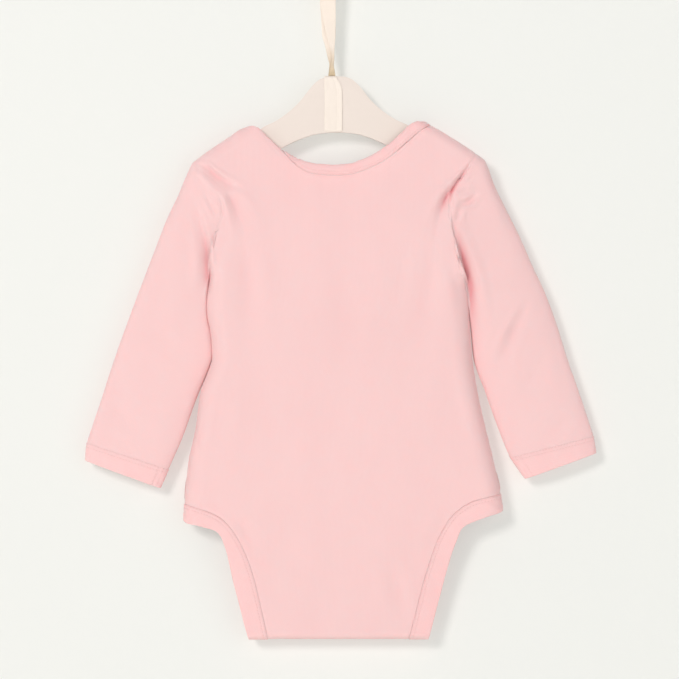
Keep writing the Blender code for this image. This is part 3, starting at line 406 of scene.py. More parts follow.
BACK_FOLDS = (
    # left shoulder and the long trough that runs down from it
    Fold(((-117.8, -155.2), (-106.6, -157.8), (-99.2, -164.2), (-90.6, -170.2), (-82.2, -175), (-72, -180.5)),
         (2.4, 5), 3.2, 0.4, 0.35, 0, 2, 1.5, (0.5, 1.3)),
    Fold(((-90.6, -178.5), (-87, -183.4), (-83.2, -189.8), (-80, -199.4), (-76.8, -210.2), (-74.6, -240)),
         (2.4, 7), 2.9, 0.3, 0.35, 0, 10, 1.5, (1.3, 0.8)),
    Fold(((-77, -215), (-75, -245), (-74, -285), (-73, -345)), (7, 12), 2.1, 0.35, 0.3),
    # left armhole
    Fold(((-108.8, -178), (-102, -190), (-96.5, -201)), (1.7, 2), 0.8, 0.5, 0.4),
    Fold(((-99.2, -178.2), (-95, -184.6), (-93.6, -192), (-96, -201.6), (-99.6, -211)),
         (1.3, 1.3), 0.7, 0.5, 0.4, 0, 10, 1.3),
    Fold(((-116.2, -184.6), (-112, -199.4), (-107.8, -214.4), (-105.4, -230), (-105.2, -246), (-105.6, -262)),
         (3.6, 4.2), 4.6, 0.78, 0.2, 0, 10, 2, (0.6, 1.2)),
    # right shoulder: the deep crease at the armhole seam and its branch down the back
    Fold(((105.6, -152.6), (100.8, -160.8), (96, -168), (91.2, -174.4), (87.2, -179.2), (83.4, -185.6),
          (80.2, -193), (76.8, -205), (74, -222)), (1, 6), 4.4, 0.34, 0.3, 0, 2, 1.2, (1.2, 0.8)),
    Fold(((88.8, -177), (85.2, -182.5), (82.2, -188.8), (79.2, -197.5), (76.2, -210)),
         (1.2, 4), 2.4, 0.25, 0.3, 0, 10, 1.3),
    Fold(((92.2, -173), (88.9, -180.8), (87.9, -188), (88.8, -198)), (1, 1.2), 2, 0.25, 0.3, 0, 10, 1.2),
    Fold(((76, -214), (72, -242), (69.5, -278), (68, -330)), (6, 11), 1.8, 0.35, 0.3),
    # right sleeve: wrinkles at its top and the pocket beside the seam
    Fold(((104, -166), (98.5, -174.5), (93, -178.5)), (2, 2.4), 1.4, 0.5, 0.4),
    Fold(((111, -178), (106, -184.5), (99, -188), (91, -190)), (1.8, 2.6), 2.2, 0.45, 0.45),
    Fold(((97.5, -190), (95, -197), (94, -206)), (1.8, 2.4), 1.5, 0.4, 0.4),
    Fold(((90.2, -192), (90.6, -200), (92, -208.5), (95.6, -220.8), (98.2, -231), (101.2, -243),
          (103.8, -254), (105, -268), (106, -284), (107.8, -303), (110.5, -325)),
         (2.6, 5.2), 6, 0.54, 0.15, 0, 10, 2, (1.3, 0.35)),
    Fold(((84, -226), (90, -244), (96, -262), (99, -284)), (3.6, 5), 0.9, 0.5, 0.35),
    # body
    Fold(((8, -215), (5, -280), (2, -375)), (15, 20), 1.4, 0.5, 0.25),
    Fold(((52, -205), (53, -280), (48, -385)), (11, 16), 1.6, 0.45, 0.3),
    Fold(((-34, -190), (-38, -250), (-34, -330)), (13, 18), 0.9, 0.5, 0.2),
    Fold(((86, -300), (90, -345), (98, -400)), (8, 12), 0.7, 0.5, 0.3),
    Fold(((-96, -318), (-98, -360), (-104, -408)), (8, 10), 1.1, 0.5, 0.3),
    Fold(((-101, -373), (-92, -378), (-82, -381)), (3, 5), 0.4, 0.5, 0.3),
    Fold(((38, -470), (46, -494), (55, -522)), (5, 6), 1.2, 0.5, 0.35),
    Fold(((-30, -400), (-40, -450), (-44, -505)), (12, 10), 0.7, 0.5, 0.25),
    Fold(((88, -434), (78, -452), (68, -478)), (4, 6), 1, 0.35, 0.35),
    Fold(((-84, -436), (-72, -452), (-64, -478)), (4, 6), 1, 0.35, 0.3),
    # sleeves
    Fold(((155, -260), (142, -284), (133, -304), (125, -326)), (3, 5), 2, 0.45, 0.4, 0.5),
    Fold(((170, -298), (156, -322), (143, -340)), (5, 7), 1, 0.5, 0.3),
    Fold(((188, -352), (176, -366), (160, -380)), (4, 6), 0.7, 0.5, 0.3),
    Fold(((-160, -282), (-140, -300), (-122, -318)), (5, 7), 1, 0.5, 0.3, -0.4),
    Fold(((-142, -230), (-146, -270), (-160, -320)), (8, 9), 0.9, 0.5, 0.25),
    Fold(((-186, -345), (-170, -362), (-152, -374)), (5, 6), 0.7, 0.5, 0.3),
    Fold(((-178, -372), (-168, -386), (-160, -398)), (4, 5), 0.6, 0.5, 0.3),
)
FRONT_FOLDS = (
    Fold(((-102, -168), (-90, -182), (-74, -192)), (4, 6), 1.4, 0.5, 0.3),
    Fold(((98, -164), (88, -178), (76, -196)), (4, 6), 1.6, 0.5, 0.3),
    Fold(((-84, -205), (-78, -255), (-75, -330)), (9, 13), 1.3, 0.45, 0.3),
    Fold(((82, -208), (76, -260), (72, -330)), (8, 12), 1.2, 0.45, 0.3),
    Fold(((-10, -205), (-14, -280), (-8, -370)), (15, 20), 1, 0.5, 0.25),
    Fold(((40, -215), (44, -290), (38, -385)), (12, 16), 1, 0.5, 0.25),
    Fold(((-108, -205), (-105, -228), (-104, -252)), (3.4, 4), 1.7, 0.6, 0.3),
    Fold(((93, -198), (98, -222), (105, -250)), (3.2, 4), 1.8, 0.55, 0.3),
    Fold(((-94, -325), (-98, -365), (-104, -408)), (8, 10), 0.8, 0.5, 0.3),
    Fold(((90, -320), (96, -360), (104, -402)), (8, 10), 0.8, 0.5, 0.3),
    Fold(((-50, -430), (-40, -465), (-34, -498)), (7, 8), 0.8, 0.5, 0.3),
    Fold(((52, -428), (42, -462), (34, -496)), (7, 8), 0.9, 0.5, 0.3),
    Fold(((150, -265), (138, -292), (124, -322)), (5, 7), 1.1, 0.5, 0.3),
    Fold(((-158, -280), (-140, -302), (-124, -322)), (6, 8), 1, 0.5, 0.3),
    Fold(((182, -345), (168, -364), (156, -376)), (5, 6), 0.6, 0.5, 0.3),
    Fold(((-184, -350), (-168, -366), (-154, -378)), (5, 6), 0.6, 0.5, 0.3),
)


# ---------------------------------------------------------------- form of the hung garment
fold_z = Curve(FOLD_LINE)
front_neck_z = Curve(FRONT_NECK)
seam_drop = Curve(SEAM_DROP)
edge_drop = Curve(EDGE_DROP)
side_x = {side: Curve(rows) for side, rows in SIDE.items()}
round_left = Curve(ROUND_LEFT)
round_right = Curve(ROUND_RIGHT)
back_depth = Curve(BACK_DEPTH)
front_depth = Curve(FRONT_DEPTH)

TIP_LEFT, TIP_LEFT_X = SIDE_LEFT[0]
TIP_RIGHT, TIP_RIGHT_X = SIDE_RIGHT[0]
TIP = {Side.LEFT: TIP_LEFT, Side.RIGHT: TIP_RIGHT}
HIP = {side: rows[-1][0] for side, rows in SIDE.items()}


def on_shoulder(x: Array) -> Array:
    """1 over the shoulders, where the cloth folds over the hanger, 0 along the neck."""
    return 1 - ease((x - SHOULDER_LEFT) / SHOULDER_FADE) + ease((x - SHOULDER_RIGHT) / SHOULDER_FADE)


def sides(x: Array, z: Array) -> Array:
    """Rounding of the two side outlines."""
    return rounding((x - round_left(z)) / SIDE_ROUND) * rounding((round_right(z) - x) / SIDE_ROUND)


def back_y(x: Array, z: Array, below: Array | float, folds: Sequence[Fold] = BACK_FOLDS) -> Array:
    """Y of the back's outer face, a distance below the fold line, with these folds."""
    crest = NECK_CREST * (1 - on_shoulder(x))
    depth = back_depth(z) * sides(x, z)
    body = crest + (np.maximum(depth, crest) - crest) * rounding(below / RIDGE_ROUND)
    bottom = rounding((z - CROTCH_Z) / CROTCH_ROUND)
    return -(body - folded(folds, x, z, below) * sides(x, z)) * bottom


def over_y(x: Array, z: Array, beyond: Array) -> Array:
    """Y of the back panel's cloth past the fold line, on the front side."""
    lap = front_depth(z) * sides(x, z) * rounding(beyond / RIDGE_ROUND)
    rolled = -NECK_CREST + ROLL_DEPTH * rounding(beyond / ROLL_ROUND)
    return lerp(rolled, lap, on_shoulder(x))


def front_y(x: Array, z: Array, lap_room: Array | float | None = None) -> Array:
    """Y of the front panel's outer face; lap_room is the distance below the lap's edge."""
    depth = front_depth(z) * sides(x, z) - folded(FRONT_FOLDS, x, z, FAR_BELOW) * sides(x, z)
    top = lerp(1.0, rounding((fold_z(x) - z) / RIDGE_ROUND), on_shoulder(x))
    tucked = 0.0 if lap_room is None else 1 - ease((lap_room - LAP_COVER) / LAP_RISE)
    return depth * top - UNDER_LAP * tucked


def column_point(share: Array, left_x: Array, left_z: Array, right_x: Array,
                 right_z: Array) -> tuple[Array, Array, Array]:
    """A column's point on a row.

    Args:
        share: The column's place from the left side to the right one.
        left_x: X of the row's left end.
        left_z: Z of the row's left end.
        right_x: X of the row's right end.
        right_z: Z of the row's right end.

    Returns:
        X, z and the x at which the column starts on the shoulder line.
    """
    start = lerp(TIP_LEFT_X, TIP_RIGHT_X, share)
    fade = 1 - ease((TIP_LEFT - left_z - TOP_ZONE) / (FADE_ZONE - TOP_ZONE))
    power = 1 + SIDE_PULL * fade
    x = start + (left_x - TIP_LEFT_X) * (1 - share) ** power + (right_x - TIP_RIGHT_X) * share ** power
    bump = fold_z(start) - lerp(TIP_LEFT, TIP_RIGHT, share)
    return x, lerp(left_z, right_z, share) + bump * fade, start


def top_point(share: Array, drop: Array) -> tuple[Array, Array, Array]:
    """A column's point a drop below the fold line near the shoulders, on either side of it."""
    left_z, right_z = TIP_LEFT - np.abs(drop), TIP_RIGHT - np.abs(drop)
    return column_point(share, side_x[Side.LEFT](left_z), left_z, side_x[Side.RIGHT](right_z), right_z)


def wrapped(share: Array, drop: Array) -> Array:
    """Points of the back panel's cloth, below the fold line or past it on the front side."""
    x, z, _ = top_point(share, drop)
    y = np.where(drop >= 0, back_y(x, z, np.maximum(drop, 0.0)), over_y(x, z, np.maximum(-drop, 0.0)))
    return grid_of(x, y, z)


def column_shares() -> Array:
    """Columns from the left side to the right one, closer at the sides and neck points."""
    shares = [0.0]
    for start, end, count in COLUMN_GROUPS:
        shares += [lerp(start, end, 0.5 - 0.5 * math.cos(math.pi * i / count)) for i in range(1, count + 1)]
    return np.array(shares)


def leg_path(table: Sequence[Sequence[float]], first: int, shares: Array) -> tuple[Array, Array]:
    """X and z at some shares of the smooth path through a leg table's columns, first and the next."""
    places = np.array(table, float)[:, first:first + 2]
    lengths = run_length(places, 0)
    x, z = (Curve(list(zip(lengths, values)))(lengths[-1] * shares) for values in places.T)
    return x, z


def leg_rows(tables: dict[Side, Array], steps: Array, shares: Array) -> tuple[Array, Array]:
    """X and z of the rows that run from one leg seam to the other, at some steps along them."""
    (left_x, left_z), (right_x, right_z) = (leg_path(tables[side], 0, steps) for side in Side)
    return lerp(left_x[:, None], right_x[:, None], shares), lerp(left_z[:, None], right_z[:, None], shares)


def front_leg(table: Sequence[Sequence[float]]) -> Array:
    """The front leg opening: the back's, scooped further in, and shorter."""
    rows = np.array(table, float)
    row = np.arange(len(rows))
    share, place = ease(row / SCOOP_ROWS), row / row[-1]
    side = np.copysign(FRONT_SCOOP * share, rows[:, 0])
    rise = (FRONT_END_Z - CROTCH_Z) * share * place + FRONT_LIFT * share * (1 - place)
    return rows + np.stack([-side, rise, -side, rise], axis=1)


FRONT_LEG = {side: front_leg(table) for side, table in LEG.items()}


# ---------------------------------------------------------------- meshes
def world(points: Array) -> Array:
    """Points of the tables, in the frame's metres."""
    return (points + np.array((HANG_OFFSET_X, 0.0, 0.0))) * MM


def make_piece(name: str, points: Array, faces: list[list[int]],
               uvs: Array | None = None) -> bpy.types.Object:
    """A smooth object at the origin from points in millimetres.

    Args:
        name: The piece's name.
        points: Its points, one a row.
        faces: Its faces, as point numbers.
        uvs: A (u, v) in metres for each corner of the faces, in their order.

    Returns:
        The new object, alone in the selection.
    """
    mesh = bpy.data.meshes.new(name)
    mesh.from_pydata(world(points).tolist(), [], faces)
    if uvs is not None:
        layer = mesh.uv_layers.new(name="cloth")
        layer.data.foreach_set("uv", uvs.astype(np.float32).ravel())
    mesh.update()
    mesh.shade_smooth()
    piece = bpy.data.objects.new(name, mesh)
    bpy.context.scene.collection.objects.link(piece)
    select_only(piece)
    return piece


def select_only(piece: bpy.types.Object) -> None:
    """Leaves one object selected and active."""
    bpy.ops.object.select_all(action="DESELECT")
    piece.select_set(True)
    bpy.context.view_layer.objects.active = piece


def grid_faces(rows: int, columns: int, ring: bool, loop: bool = False,
               flip: bool = False) -> tuple[list[list[int]], Array]:
    """Quads of a grid, and the (row, column) of each of their corners.

    Args:
        rows: Number of rows.
        columns: Number of points in a row.
        ring: Whether each row's end joins its start.
        loop: Whether the last row joins the first.
        flip: Whether the faces are turned over.

    Returns:
        The faces, and an array of their corners' rows and columns, which keep their own
        numbers past the last row or column that is joined to the first.
    """
    r, c = np.meshgrid(np.arange(rows if loop else rows - 1), np.arange(columns if ring else columns - 1),
                       indexing="ij")
    r, c = r.ravel(), c.ravel()
    corner_r, corner_c = np.stack([r, r + 1, r + 1, r], axis=1), np.stack([c, c, c + 1, c + 1], axis=1)
    if flip:
        corner_r, corner_c = corner_r[:, ::-1], corner_c[:, ::-1]
    faces = corner_r % rows * columns + corner_c % columns
    return faces.tolist(), np.stack([corner_r, corner_c], axis=-1).reshape(-1, 2)


def add_modifier(piece: bpy.types.Object, kind: str, **settings: object) -> None:
    """Adds a modifier with these settings and applies it."""
    select_only(piece)
    modifier = piece.modifiers.new(kind.title(), kind)
    for key, value in settings.items():
        setattr(modifier, key, value)
    bpy.ops.object.modifier_apply(modifier=modifier.name)


def cloth_sheet(name: str, grid: Array, uv: Array, deep: Array, ring: bool, flip: bool) -> bpy.types.Object:
    """A wall of knit cloth on a grid of points, thickened inwards.

    Args:
        name: The piece's name.
        grid: Points of its outer face, rows by columns.
        uv: Cloth coordinates in millimetres; a ring has one more than its points.
        deep: How deep in a crease each point lies, from 0 to 1, which sets the painted crease shade.
        ring: Whether each row's end joins its start.
        flip: Whether the faces are turned over.

    Returns:
        The finished piece.
    """
    faces, corners = grid_faces(*grid.shape[:2], ring, flip=flip)
    uvs = uv[corners[:, 0], corners[:, 1]] * MM
    piece = make_piece(name, grid.reshape(-1, 3), faces, uvs)
    # the crease attribute carries the painted crease shade that the knit finish mixes into its colour
    crease = piece.data.attributes.new("crease", "FLOAT", "POINT")
    crease.data.foreach_set("value", deep.astype(np.float32).ravel())
    add_modifier(piece, "SOLIDIFY", thickness=CLOTH * MM, offset=-1.0)
    piece.data.shade_smooth()
    return piece


def armhole_dip(grid: Array, side: Side) -> Array:
    """How far an armhole's seam is drawn in; the right one lies in a deep crease below the shoulder."""
    if side is Side.LEFT:
        return np.full(grid.shape[:2], ARM_DIP[side])
    crease = np.exp(-((grid[..., 2] - CREASE_Z) / CREASE_REACH) ** 2) * (grid[..., 1] < 0)
    return ARM_DIP[side] + CREASE_DIP * crease


def painted_crease_shade(grid: Array, folds: Sequence[Fold]) -> Array:
    """Weight of the painted crease shade at each point of a grid, from 0 to 1, by how deep in a crease it
    lies.
    """
    depth = folded(folds, grid[..., 0], grid[..., 2], FAR_BELOW)
    return np.clip(depth / CREASE_SHADE_FULL, 0.0, 1.0) ** CREASE_SHADE_POWER


def dipped(grid: Array, normals: Array, distance: Array, seed: int, depth: Array | float) -> Array:
    """A grid drawn in along a sewn edge, with small puckers.

    Args:
        grid: Points of the outer face.
        normals: Their outward normals.
        distance: Distance of each point from the sewn edge, in millimetres.
        seed: Seed of the puckers.
        depth: How far the edge itself is drawn in.

    Returns:
        The moved points.
    """
    along = grid[..., 2] + PUCKER_SLANT * grid[..., 0]
    pull = depth * np.exp(-(distance / DIP_REACH) ** 2)
    pucker = PUCKER * np.exp(-(distance / PUCKER_REACH) ** 2) * ripple(along, seed, PUCKER_WAVE)
    return grid - normals * (pull + pucker)[..., None]


@dataclass
class BackPanel:
    """Back of the bodysuit, from the laps over the shoulders to the snap flap.

    Attributes:
        top_rows: Rows of the laps and shoulders.
        arm_rows: Rows beside the armholes.
        side_rows: Rows from the underarm to the hips.
        leg_rows: Rows beside the leg openings.
        fold_rows: Rows round the crotch fold.
        flap_rows: Rows up the snap flap.
    """

    top_rows: int = 50
    arm_rows: int = 34
    side_rows: int = 84
    leg_rows: int = 58
    fold_rows: int = 9
    flap_rows: int = 14

    def points(self) -> tuple[Array, Array]:
        """Points of the outer face and their height on the flat cloth.

        Returns:
            The grid, and the cloth's v coordinate at each point, in millimetres.
        """
        shares = column_shares()[None, :]
        start = top_point(shares, np.zeros((1, 1)))[2]
        place = np.linspace(0, len(LAP_DROPS + SHOULDER_DROPS) - 1, self.top_rows)[:, None]
        wanted = Curve.through(LAP_DROPS + SHOULDER_DROPS)(place)
        drop = np.maximum(wanted, seam_drop(start) + neck_gap(start) + place * ROW_STEP)
        top = wrapped(np.broadcast_to(shares, drop.shape), drop)
        low, flat_low = self.below_shoulder(shares)
        grid = np.concatenate([top, low])
        flat = np.concatenate([-fold_z(start) + drop, flat_low])
        return grid, flat

    def below_shoulder(self, shares: Array) -> tuple[Array, Array]:
        """Rows from below the shoulders to the flap's end, and their height on the flat cloth."""
        left_x, left_z, right_x, right_z = level_rows(TOP_ZONE, self.arm_rows, self.side_rows)
        x, z, _ = column_point(shares, left_x, left_z, right_x, right_z)
        side = grid_of(x, back_y(x, z, fold_z(x) - z), z)
        x, z = leg_rows(LEG, leg_steps(self.leg_rows), shares)
        z = np.maximum(z, CROTCH_Z)
        leg = grid_of(x, back_y(x, z, FAR_BELOW), z)
        turns = np.linspace(0, 0.5 * math.pi, self.fold_rows + 1)
        heights = np.concatenate([CROTCH_ROUND * (1 - np.cos(turns)),
                                  np.linspace(CROTCH_ROUND, FLAP_Z - CROTCH_Z, self.flap_rows + 1)[1:]])
        x, heights = np.broadcast_arrays(x[-1:], heights[:, None])
        flap = grid_of(x, flap_y(x, heights), CROTCH_Z + heights)
        flat = np.concatenate([-side[..., 2], -leg[..., 2], -2 * CROTCH_Z + flap[..., 2]])
        return np.concatenate([side, leg, flap]), flat

    def build(self) -> bpy.types.Object:
        """The panel, drawn in at its seams.

        Returns:
            The finished piece.
        """
        grid, flat = self.points()
        normals = normals_of(grid, 1)
        across = run_length(grid, 1)
        width = across[:, -1:]
        open_from = self.top_rows + self.arm_rows + self.side_rows
        sewn = np.ones(len(grid))
        sewn[:self.top_rows // 3] = LAP_SEWN
        sewn[self.top_rows + self.arm_rows:open_from] = SIDE_SEWN
        grid = dipped(grid, normals, across / sewn[:, None], 11, armhole_dip(grid, Side.LEFT))
        grid = dipped(grid, normals, (width - across) / sewn[:, None], 15, armhole_dip(grid, Side.RIGHT))
        grid = dipped(grid, normals, run_length(grid, 0), 12, NECK_DIP)
        return panel_sheet("back_panel_knit", grid, BACK_FOLDS, flat)


def panel_sheet(name: str, grid: Array, folds: Sequence[Fold], flat: Array | None = None,
                shift: Array | float = 0.0) -> bpy.types.Object:
    """A panel's cloth, its side edges moved in by half the seam's gap.

    Args:
        name: The piece's name.
        grid: Points of its outer face.
        folds: The folds whose depth sets the painted shade in its creases.
        flat: Its v coordinate; None for the front, where that is the height and the faces are turned over.
        shift: How far each row's side edges are moved along y.

    Returns:
        The finished piece.
    """
    grid[:, 0], grid[:, -1] = pulled_in(grid[:, 0], grid[:, 1]), pulled_in(grid[:, -1], grid[:, -2])
    grid[:, (0, -1), 1] += shift
    middle = grid.shape[1] // 2
    u = run_length(grid * np.array((1.0, 1.0, 0.0)), 1)
    uv = np.stack([u - u[:, middle:middle + 1], -grid[..., 2] if flat is None else flat], axis=-1)
    return cloth_sheet(name, grid, uv, painted_crease_shade(grid, folds), ring=False, flip=flat is None)


def pulled_in(ends: Array, beside: Array) -> Array:
    """A row of edge points moved in by half the seam's gap."""
    along = beside - ends
    length = np.maximum(np.linalg.norm(along, axis=-1, keepdims=True), 1e-6)
    return ends + along / length * np.minimum(SIDE_GAP, 0.4 * length)


def neck_gap(x: Array) -> Array:
    """Half the neck seam's gap, measured down a column where the seam slants."""
    rise = sum(np.abs(line(x + SLOPE_REACH) - line(x - SLOPE_REACH)) for line in (fold_z, seam_drop))
    return SEAM_GAP / 2 * np.hypot(1.0, rise / (2 * SLOPE_REACH)) ** SLOPE_POWER


def level_rows(from_drop: float, arm_rows: int, side_rows: int) -> tuple[Array, Array, Array, Array]:
    """Ends of the rows between the top zone and the hips.

    Args:
        from_drop: Drop of the last row of the top zone.
        arm_rows: Rows beside the armholes.
        side_rows: Rows from the underarm to the hips.

    Returns:
        Left x, left z, right x and right z of the rows, as columns.
    """
    arm = np.linspace(0, 1, arm_rows + 1)[1:]
    side = np.linspace(0, 1, side_rows + 1)[1:]
    ends = []
    for edge in Side:
        z = np.concatenate([lerp(TIP[edge] - from_drop, UNDERARM[edge], arm),
                            lerp(UNDERARM[edge], HIP[edge], side)])[:, None]
        ends += [side_x[edge](z), z]
    return tuple(ends)


def leg_steps(rows: int, tail: float = 0.05, tail_rows: int = 9, room: float = 0.008) -> Array:
    """Shares along a leg seam, close together at the hip corner and the crotch fold."""
    steps = Curve.through(LEG_SHARES)(np.linspace(0, len(LEG_SHARES) - 1, rows))[1:]
    turns = np.linspace(0, 0.5 * math.pi, tail_rows + 1)
    return np.concatenate([steps[steps < 1 - tail - room], 1 - tail + tail * np.sin(turns)])[:-1]


def flap_y(x: Array, height: Array) -> Array:
    """Y of the snap flap's outer face, a height above the crotch fold."""
    bulge = ease((height - FLAP_FLAT) / FLAP_RISE) * ripple(x, 31, FLAP_WAVE)
    return (FLAP_DEPTH + bulge * FLAP_UNEVEN) * rounding(height / CROTCH_ROUND)


@dataclass
class FrontPanel:
    """Front of the bodysuit, from its neck seam to its end under the snap flap."""

    top_rows: int = 18
    arm_rows: int = 28
    side_rows: int = 76
    leg_rows: int = 48

    def build(self) -> bpy.types.Object:
        """The panel, drawn in at its seams.

        Returns:
            The finished piece.
        """
        shares = column_shares()[None, :]
        start = top_point(shares, np.zeros((1, 1)))[2]
        begin = fold_z(start) - front_neck_z(start) + BAND_WIDTH + SEAM_GAP / 2
        drop = lerp(begin, FRONT_TOP, np.linspace(0, 1, self.top_rows + 1)[:, None])
        x, z, _ = top_point(shares, drop)
        top = grid_of(x, front_y(x, z, drop + edge_drop(start)), z)
        left_x, left_z, right_x, right_z = level_rows(FRONT_TOP, self.arm_rows, self.side_rows)
        x, z, start = column_point(shares, left_x, left_z, right_x, right_z)
        side = grid_of(x, front_y(x, z, TIP_LEFT - left_z + edge_drop(start)), z)
        x, z = leg_rows(FRONT_LEG, leg_steps(self.leg_rows), shares)
        grid = np.concatenate([top, side, grid_of(x, front_y(x, z), z)])
        normals = normals_of(grid, -1)
        across = run_length(grid, 1)
        body = np.zeros(len(grid), bool)
        body[self.top_rows + 1 + self.arm_rows:][:self.side_rows] = True
        edge = np.minimum(across, across[:, -1:] - across) / np.where(body, SIDE_SEWN, 1.0)[:, None]
        grid = dipped(grid, normals, edge, 13, armhole_dip(grid, Side.RIGHT))
        grid = dipped(grid, normals, run_length(grid, 0), 14, NECK_DIP)
        return panel_sheet("front_panel_knit", grid, FRONT_FOLDS, shift=SIDE_SEAM * body[:, None])


# ---------------------------------------------------------------- bindings and cuffs
def across_face(face: Array, share: Array | float) -> Array:
    """Points of a face at a share of each row's width."""
    last = face.shape[1] - 1
    place = np.clip(np.broadcast_to(share, face.shape[0]) * last, 0, last)
    low = np.minimum(place.astype(int), last - 1)
    rows = np.arange(face.shape[0])
    return lerp(face[rows, low], face[rows, low + 1], (place - low)[:, None])


def face_outwards(piece: bpy.types.Object, smooth: float | None = None) -> None:
    """Turns the faces of a closed piece outwards, and smooths edges below an angle in degrees."""
    select_only(piece)
    bpy.ops.object.mode_set(mode="EDIT")
    bpy.ops.mesh.select_all(action="SELECT")
    bpy.ops.mesh.normals_make_consistent(inside=False)
    bpy.ops.object.mode_set(mode="OBJECT")
    if smooth is not None:
        bpy.ops.object.shade_smooth_by_angle(angle=math.radians(smooth))


def tube(name: str, rings: Array, uv: Array, loop: bool) -> bpy.types.Object:
    """A closed piece through rings of points, capped where its ends don't join.

    Args:
        name: The piece's name.
        rings: Its rings of points.
        uv: Cloth coordinates in millimetres, a column more than the points, and a row more in a loop.
        loop: Whether the last ring joins the first.

    Returns:
        The finished piece.
    """
    stations, columns = rings.shape[:2]
    faces, corners = grid_faces(stations, columns, ring=True, loop=loop)
    uvs = uv[corners[:, 0], corners[:, 1]] * MM
    if not loop:
        last = (stations - 1) * columns
        faces += [list(range(columns)), list(range(last, last + columns))]
        uvs = np.concatenate([uvs, np.zeros((2 * columns, 2))])
    piece = make_piece(name, rings.reshape(-1, 3), faces, uvs)
    face_outwards(piece, 60.0)
    return piece


@dataclass(frozen=True)
class Band:
    """A folded band of rib along an edge.

    Attributes:
        face: Points of its outer face: stations by points, from the seam to the free edge.
        normals: Their outward normals.
        rows: Distances of its rows of stitches from the seam.
        seam_dip: How far it is drawn in at its seam.
        soft: Rounding at its seam.
        closed: Whether the last station joins the first.
        closing: Station of the seam that closes it to a ring.
    """

    face: Array
    normals: Array
    rows: tuple[float, ...]
    seam_dip: float
    soft: float
    closed: bool = False
    closing: int | None = None

    def section(self) -> tuple[Array, Array]:
        """The band's closed sections, rounded at both edges.

        Returns:
            Points (stations, points of a section), and their place across the flat band.
        """
        width = run_length(self.face, 1)[:, -1]
        bounded = np.minimum(BAND / 2, ROUND_MOST * width)
        start, end = np.minimum(self.soft / width, ROUND_MOST), 1 - bounded / width
        points, places = [], []

        def place(share: Array, depth: Array | float, out: Array | float) -> None:
            """Adds a point of each section at a share across, a depth in, and pushed out past the edge."""
            tangent = (across_face(self.face, np.minimum(share + TANGENT_REACH, 1.0))
                       - across_face(self.face, np.maximum(share - TANGENT_REACH, 0.0)))
            tangent /= np.maximum(np.linalg.norm(tangent, axis=1, keepdims=True), 1e-9)
            depth, out = (np.broadcast_to(value, width.shape)[:, None] for value in (depth, out))
            points.append(across_face(self.face, share) - across_face(self.normals, share) * depth
                          + tangent * out)
            places.append(share * width + depth[:, 0] + out[:, 0])

        for turn in (0.0, 0.5):
            angle = turn * math.pi / 2
            place(start, self.soft * (1 - math.sin(angle)) + self.seam_dip * (1 - turn),
                  -self.soft * math.cos(angle))
        for t in np.linspace(0, 1, BAND_COLUMNS):
            share = lerp(start, end, t)
            near = share * width
            crown = CROWN * math.sin(math.pi * t) - self.seam_dip * np.exp(-(near / SEAM_REACH) ** 2)
            for row in self.rows[1:]:
                crown = crown - ROW_DIP * np.exp(-((near - row) / ROW_REACH) ** 2)
            place(share, -crown, 0.0)
        for turn in np.linspace(0, math.pi, 9)[1:-1]:
            place(end, bounded * (1 - math.cos(turn)), bounded * math.sin(turn))
        for t in np.linspace(1, 0, 6):
            place(lerp(start, end, t), 2 * bounded, 0.0)
        place(start, BAND - self.soft, -self.soft)
        return np.stack(points, axis=1), np.stack(places, axis=1)

    def build(self, name: str) -> bpy.types.Object:
        """The band as a closed mesh with this name."""
        rings, place = self.section()
        again = self.face[:1] if self.closed else self.face[:0]
        run = run_length(np.concatenate([self.face, again]), 0)[:, :1]
        around = np.concatenate([place, place[:, :1]], axis=1)
        around = np.concatenate([around, around[:len(again)]])
        return tube(name, rings, np.stack(np.broadcast_arrays(around, run), axis=-1), self.closed)

    def line(self, distance: float, lift: float = 0.0) -> tuple[Array, Array]:
        """Points and normals of a line along the band, a distance from its seam."""
        share = np.clip(distance / run_length(self.face, 1)[:, -1], 0.0, 1.0)
        facing = across_face(self.normals, share)
        return across_face(self.face, share) + facing * lift, facing


def lifted_band(grid: Array, facing: float, rows: tuple[float, ...], seed: int,
                seam_dip: float = 0.3, soft: float = 0.3) -> Band:
    """A band a little proud of the points it lies on, with small puckers along it."""
    normals = normals_of(grid, facing)
    lift = BAND_LIFT + BAND_UNEVEN * ripple(run_length(grid, 0), seed, BAND_WAVE)
    return Band(grid + normals * lift[..., None], normals, rows, seam_dip, soft)


@dataclass
class NeckBindings:
    """The envelope neck's two bindings: the back one runs over both shoulders."""

    columns: int = 7
    stations: int = 190

    def places(self) -> tuple[Array, Array, Array]:
        """Shares of the stations from the left shoulder to the right, their x, and shares across the band."""
        shares = np.linspace(0.004, 0.996, self.stations)[:, None]
        return shares, top_point(shares, np.zeros((1, 1)))[2], np.linspace(0, 1, self.columns)[None, :]

    def back(self) -> Band:
        """Band along the back neck edge and the edges of the laps."""
        shares, start, t = self.places()
        drop = lerp(seam_drop(start) - neck_gap(start), edge_drop(start), t)
        return lifted_band(wrapped(np.broadcast_to(shares, drop.shape), drop), 1, NECK_ROWS, 21)

    def front(self) -> Band:
        """Band along the front neck edge, with both ends under the laps."""
        shares, start, t = self.places()
        begin = fold_z(start) - front_neck_z(start)
        drop = lerp(begin + BAND_WIDTH - SEAM_GAP / 2, begin, t)
        x, z, _ = top_point(shares, drop)
        return lifted_band(grid_of(x, front_y(x, z, drop + edge_drop(start)), z), -1, NECK_ROWS, 22)


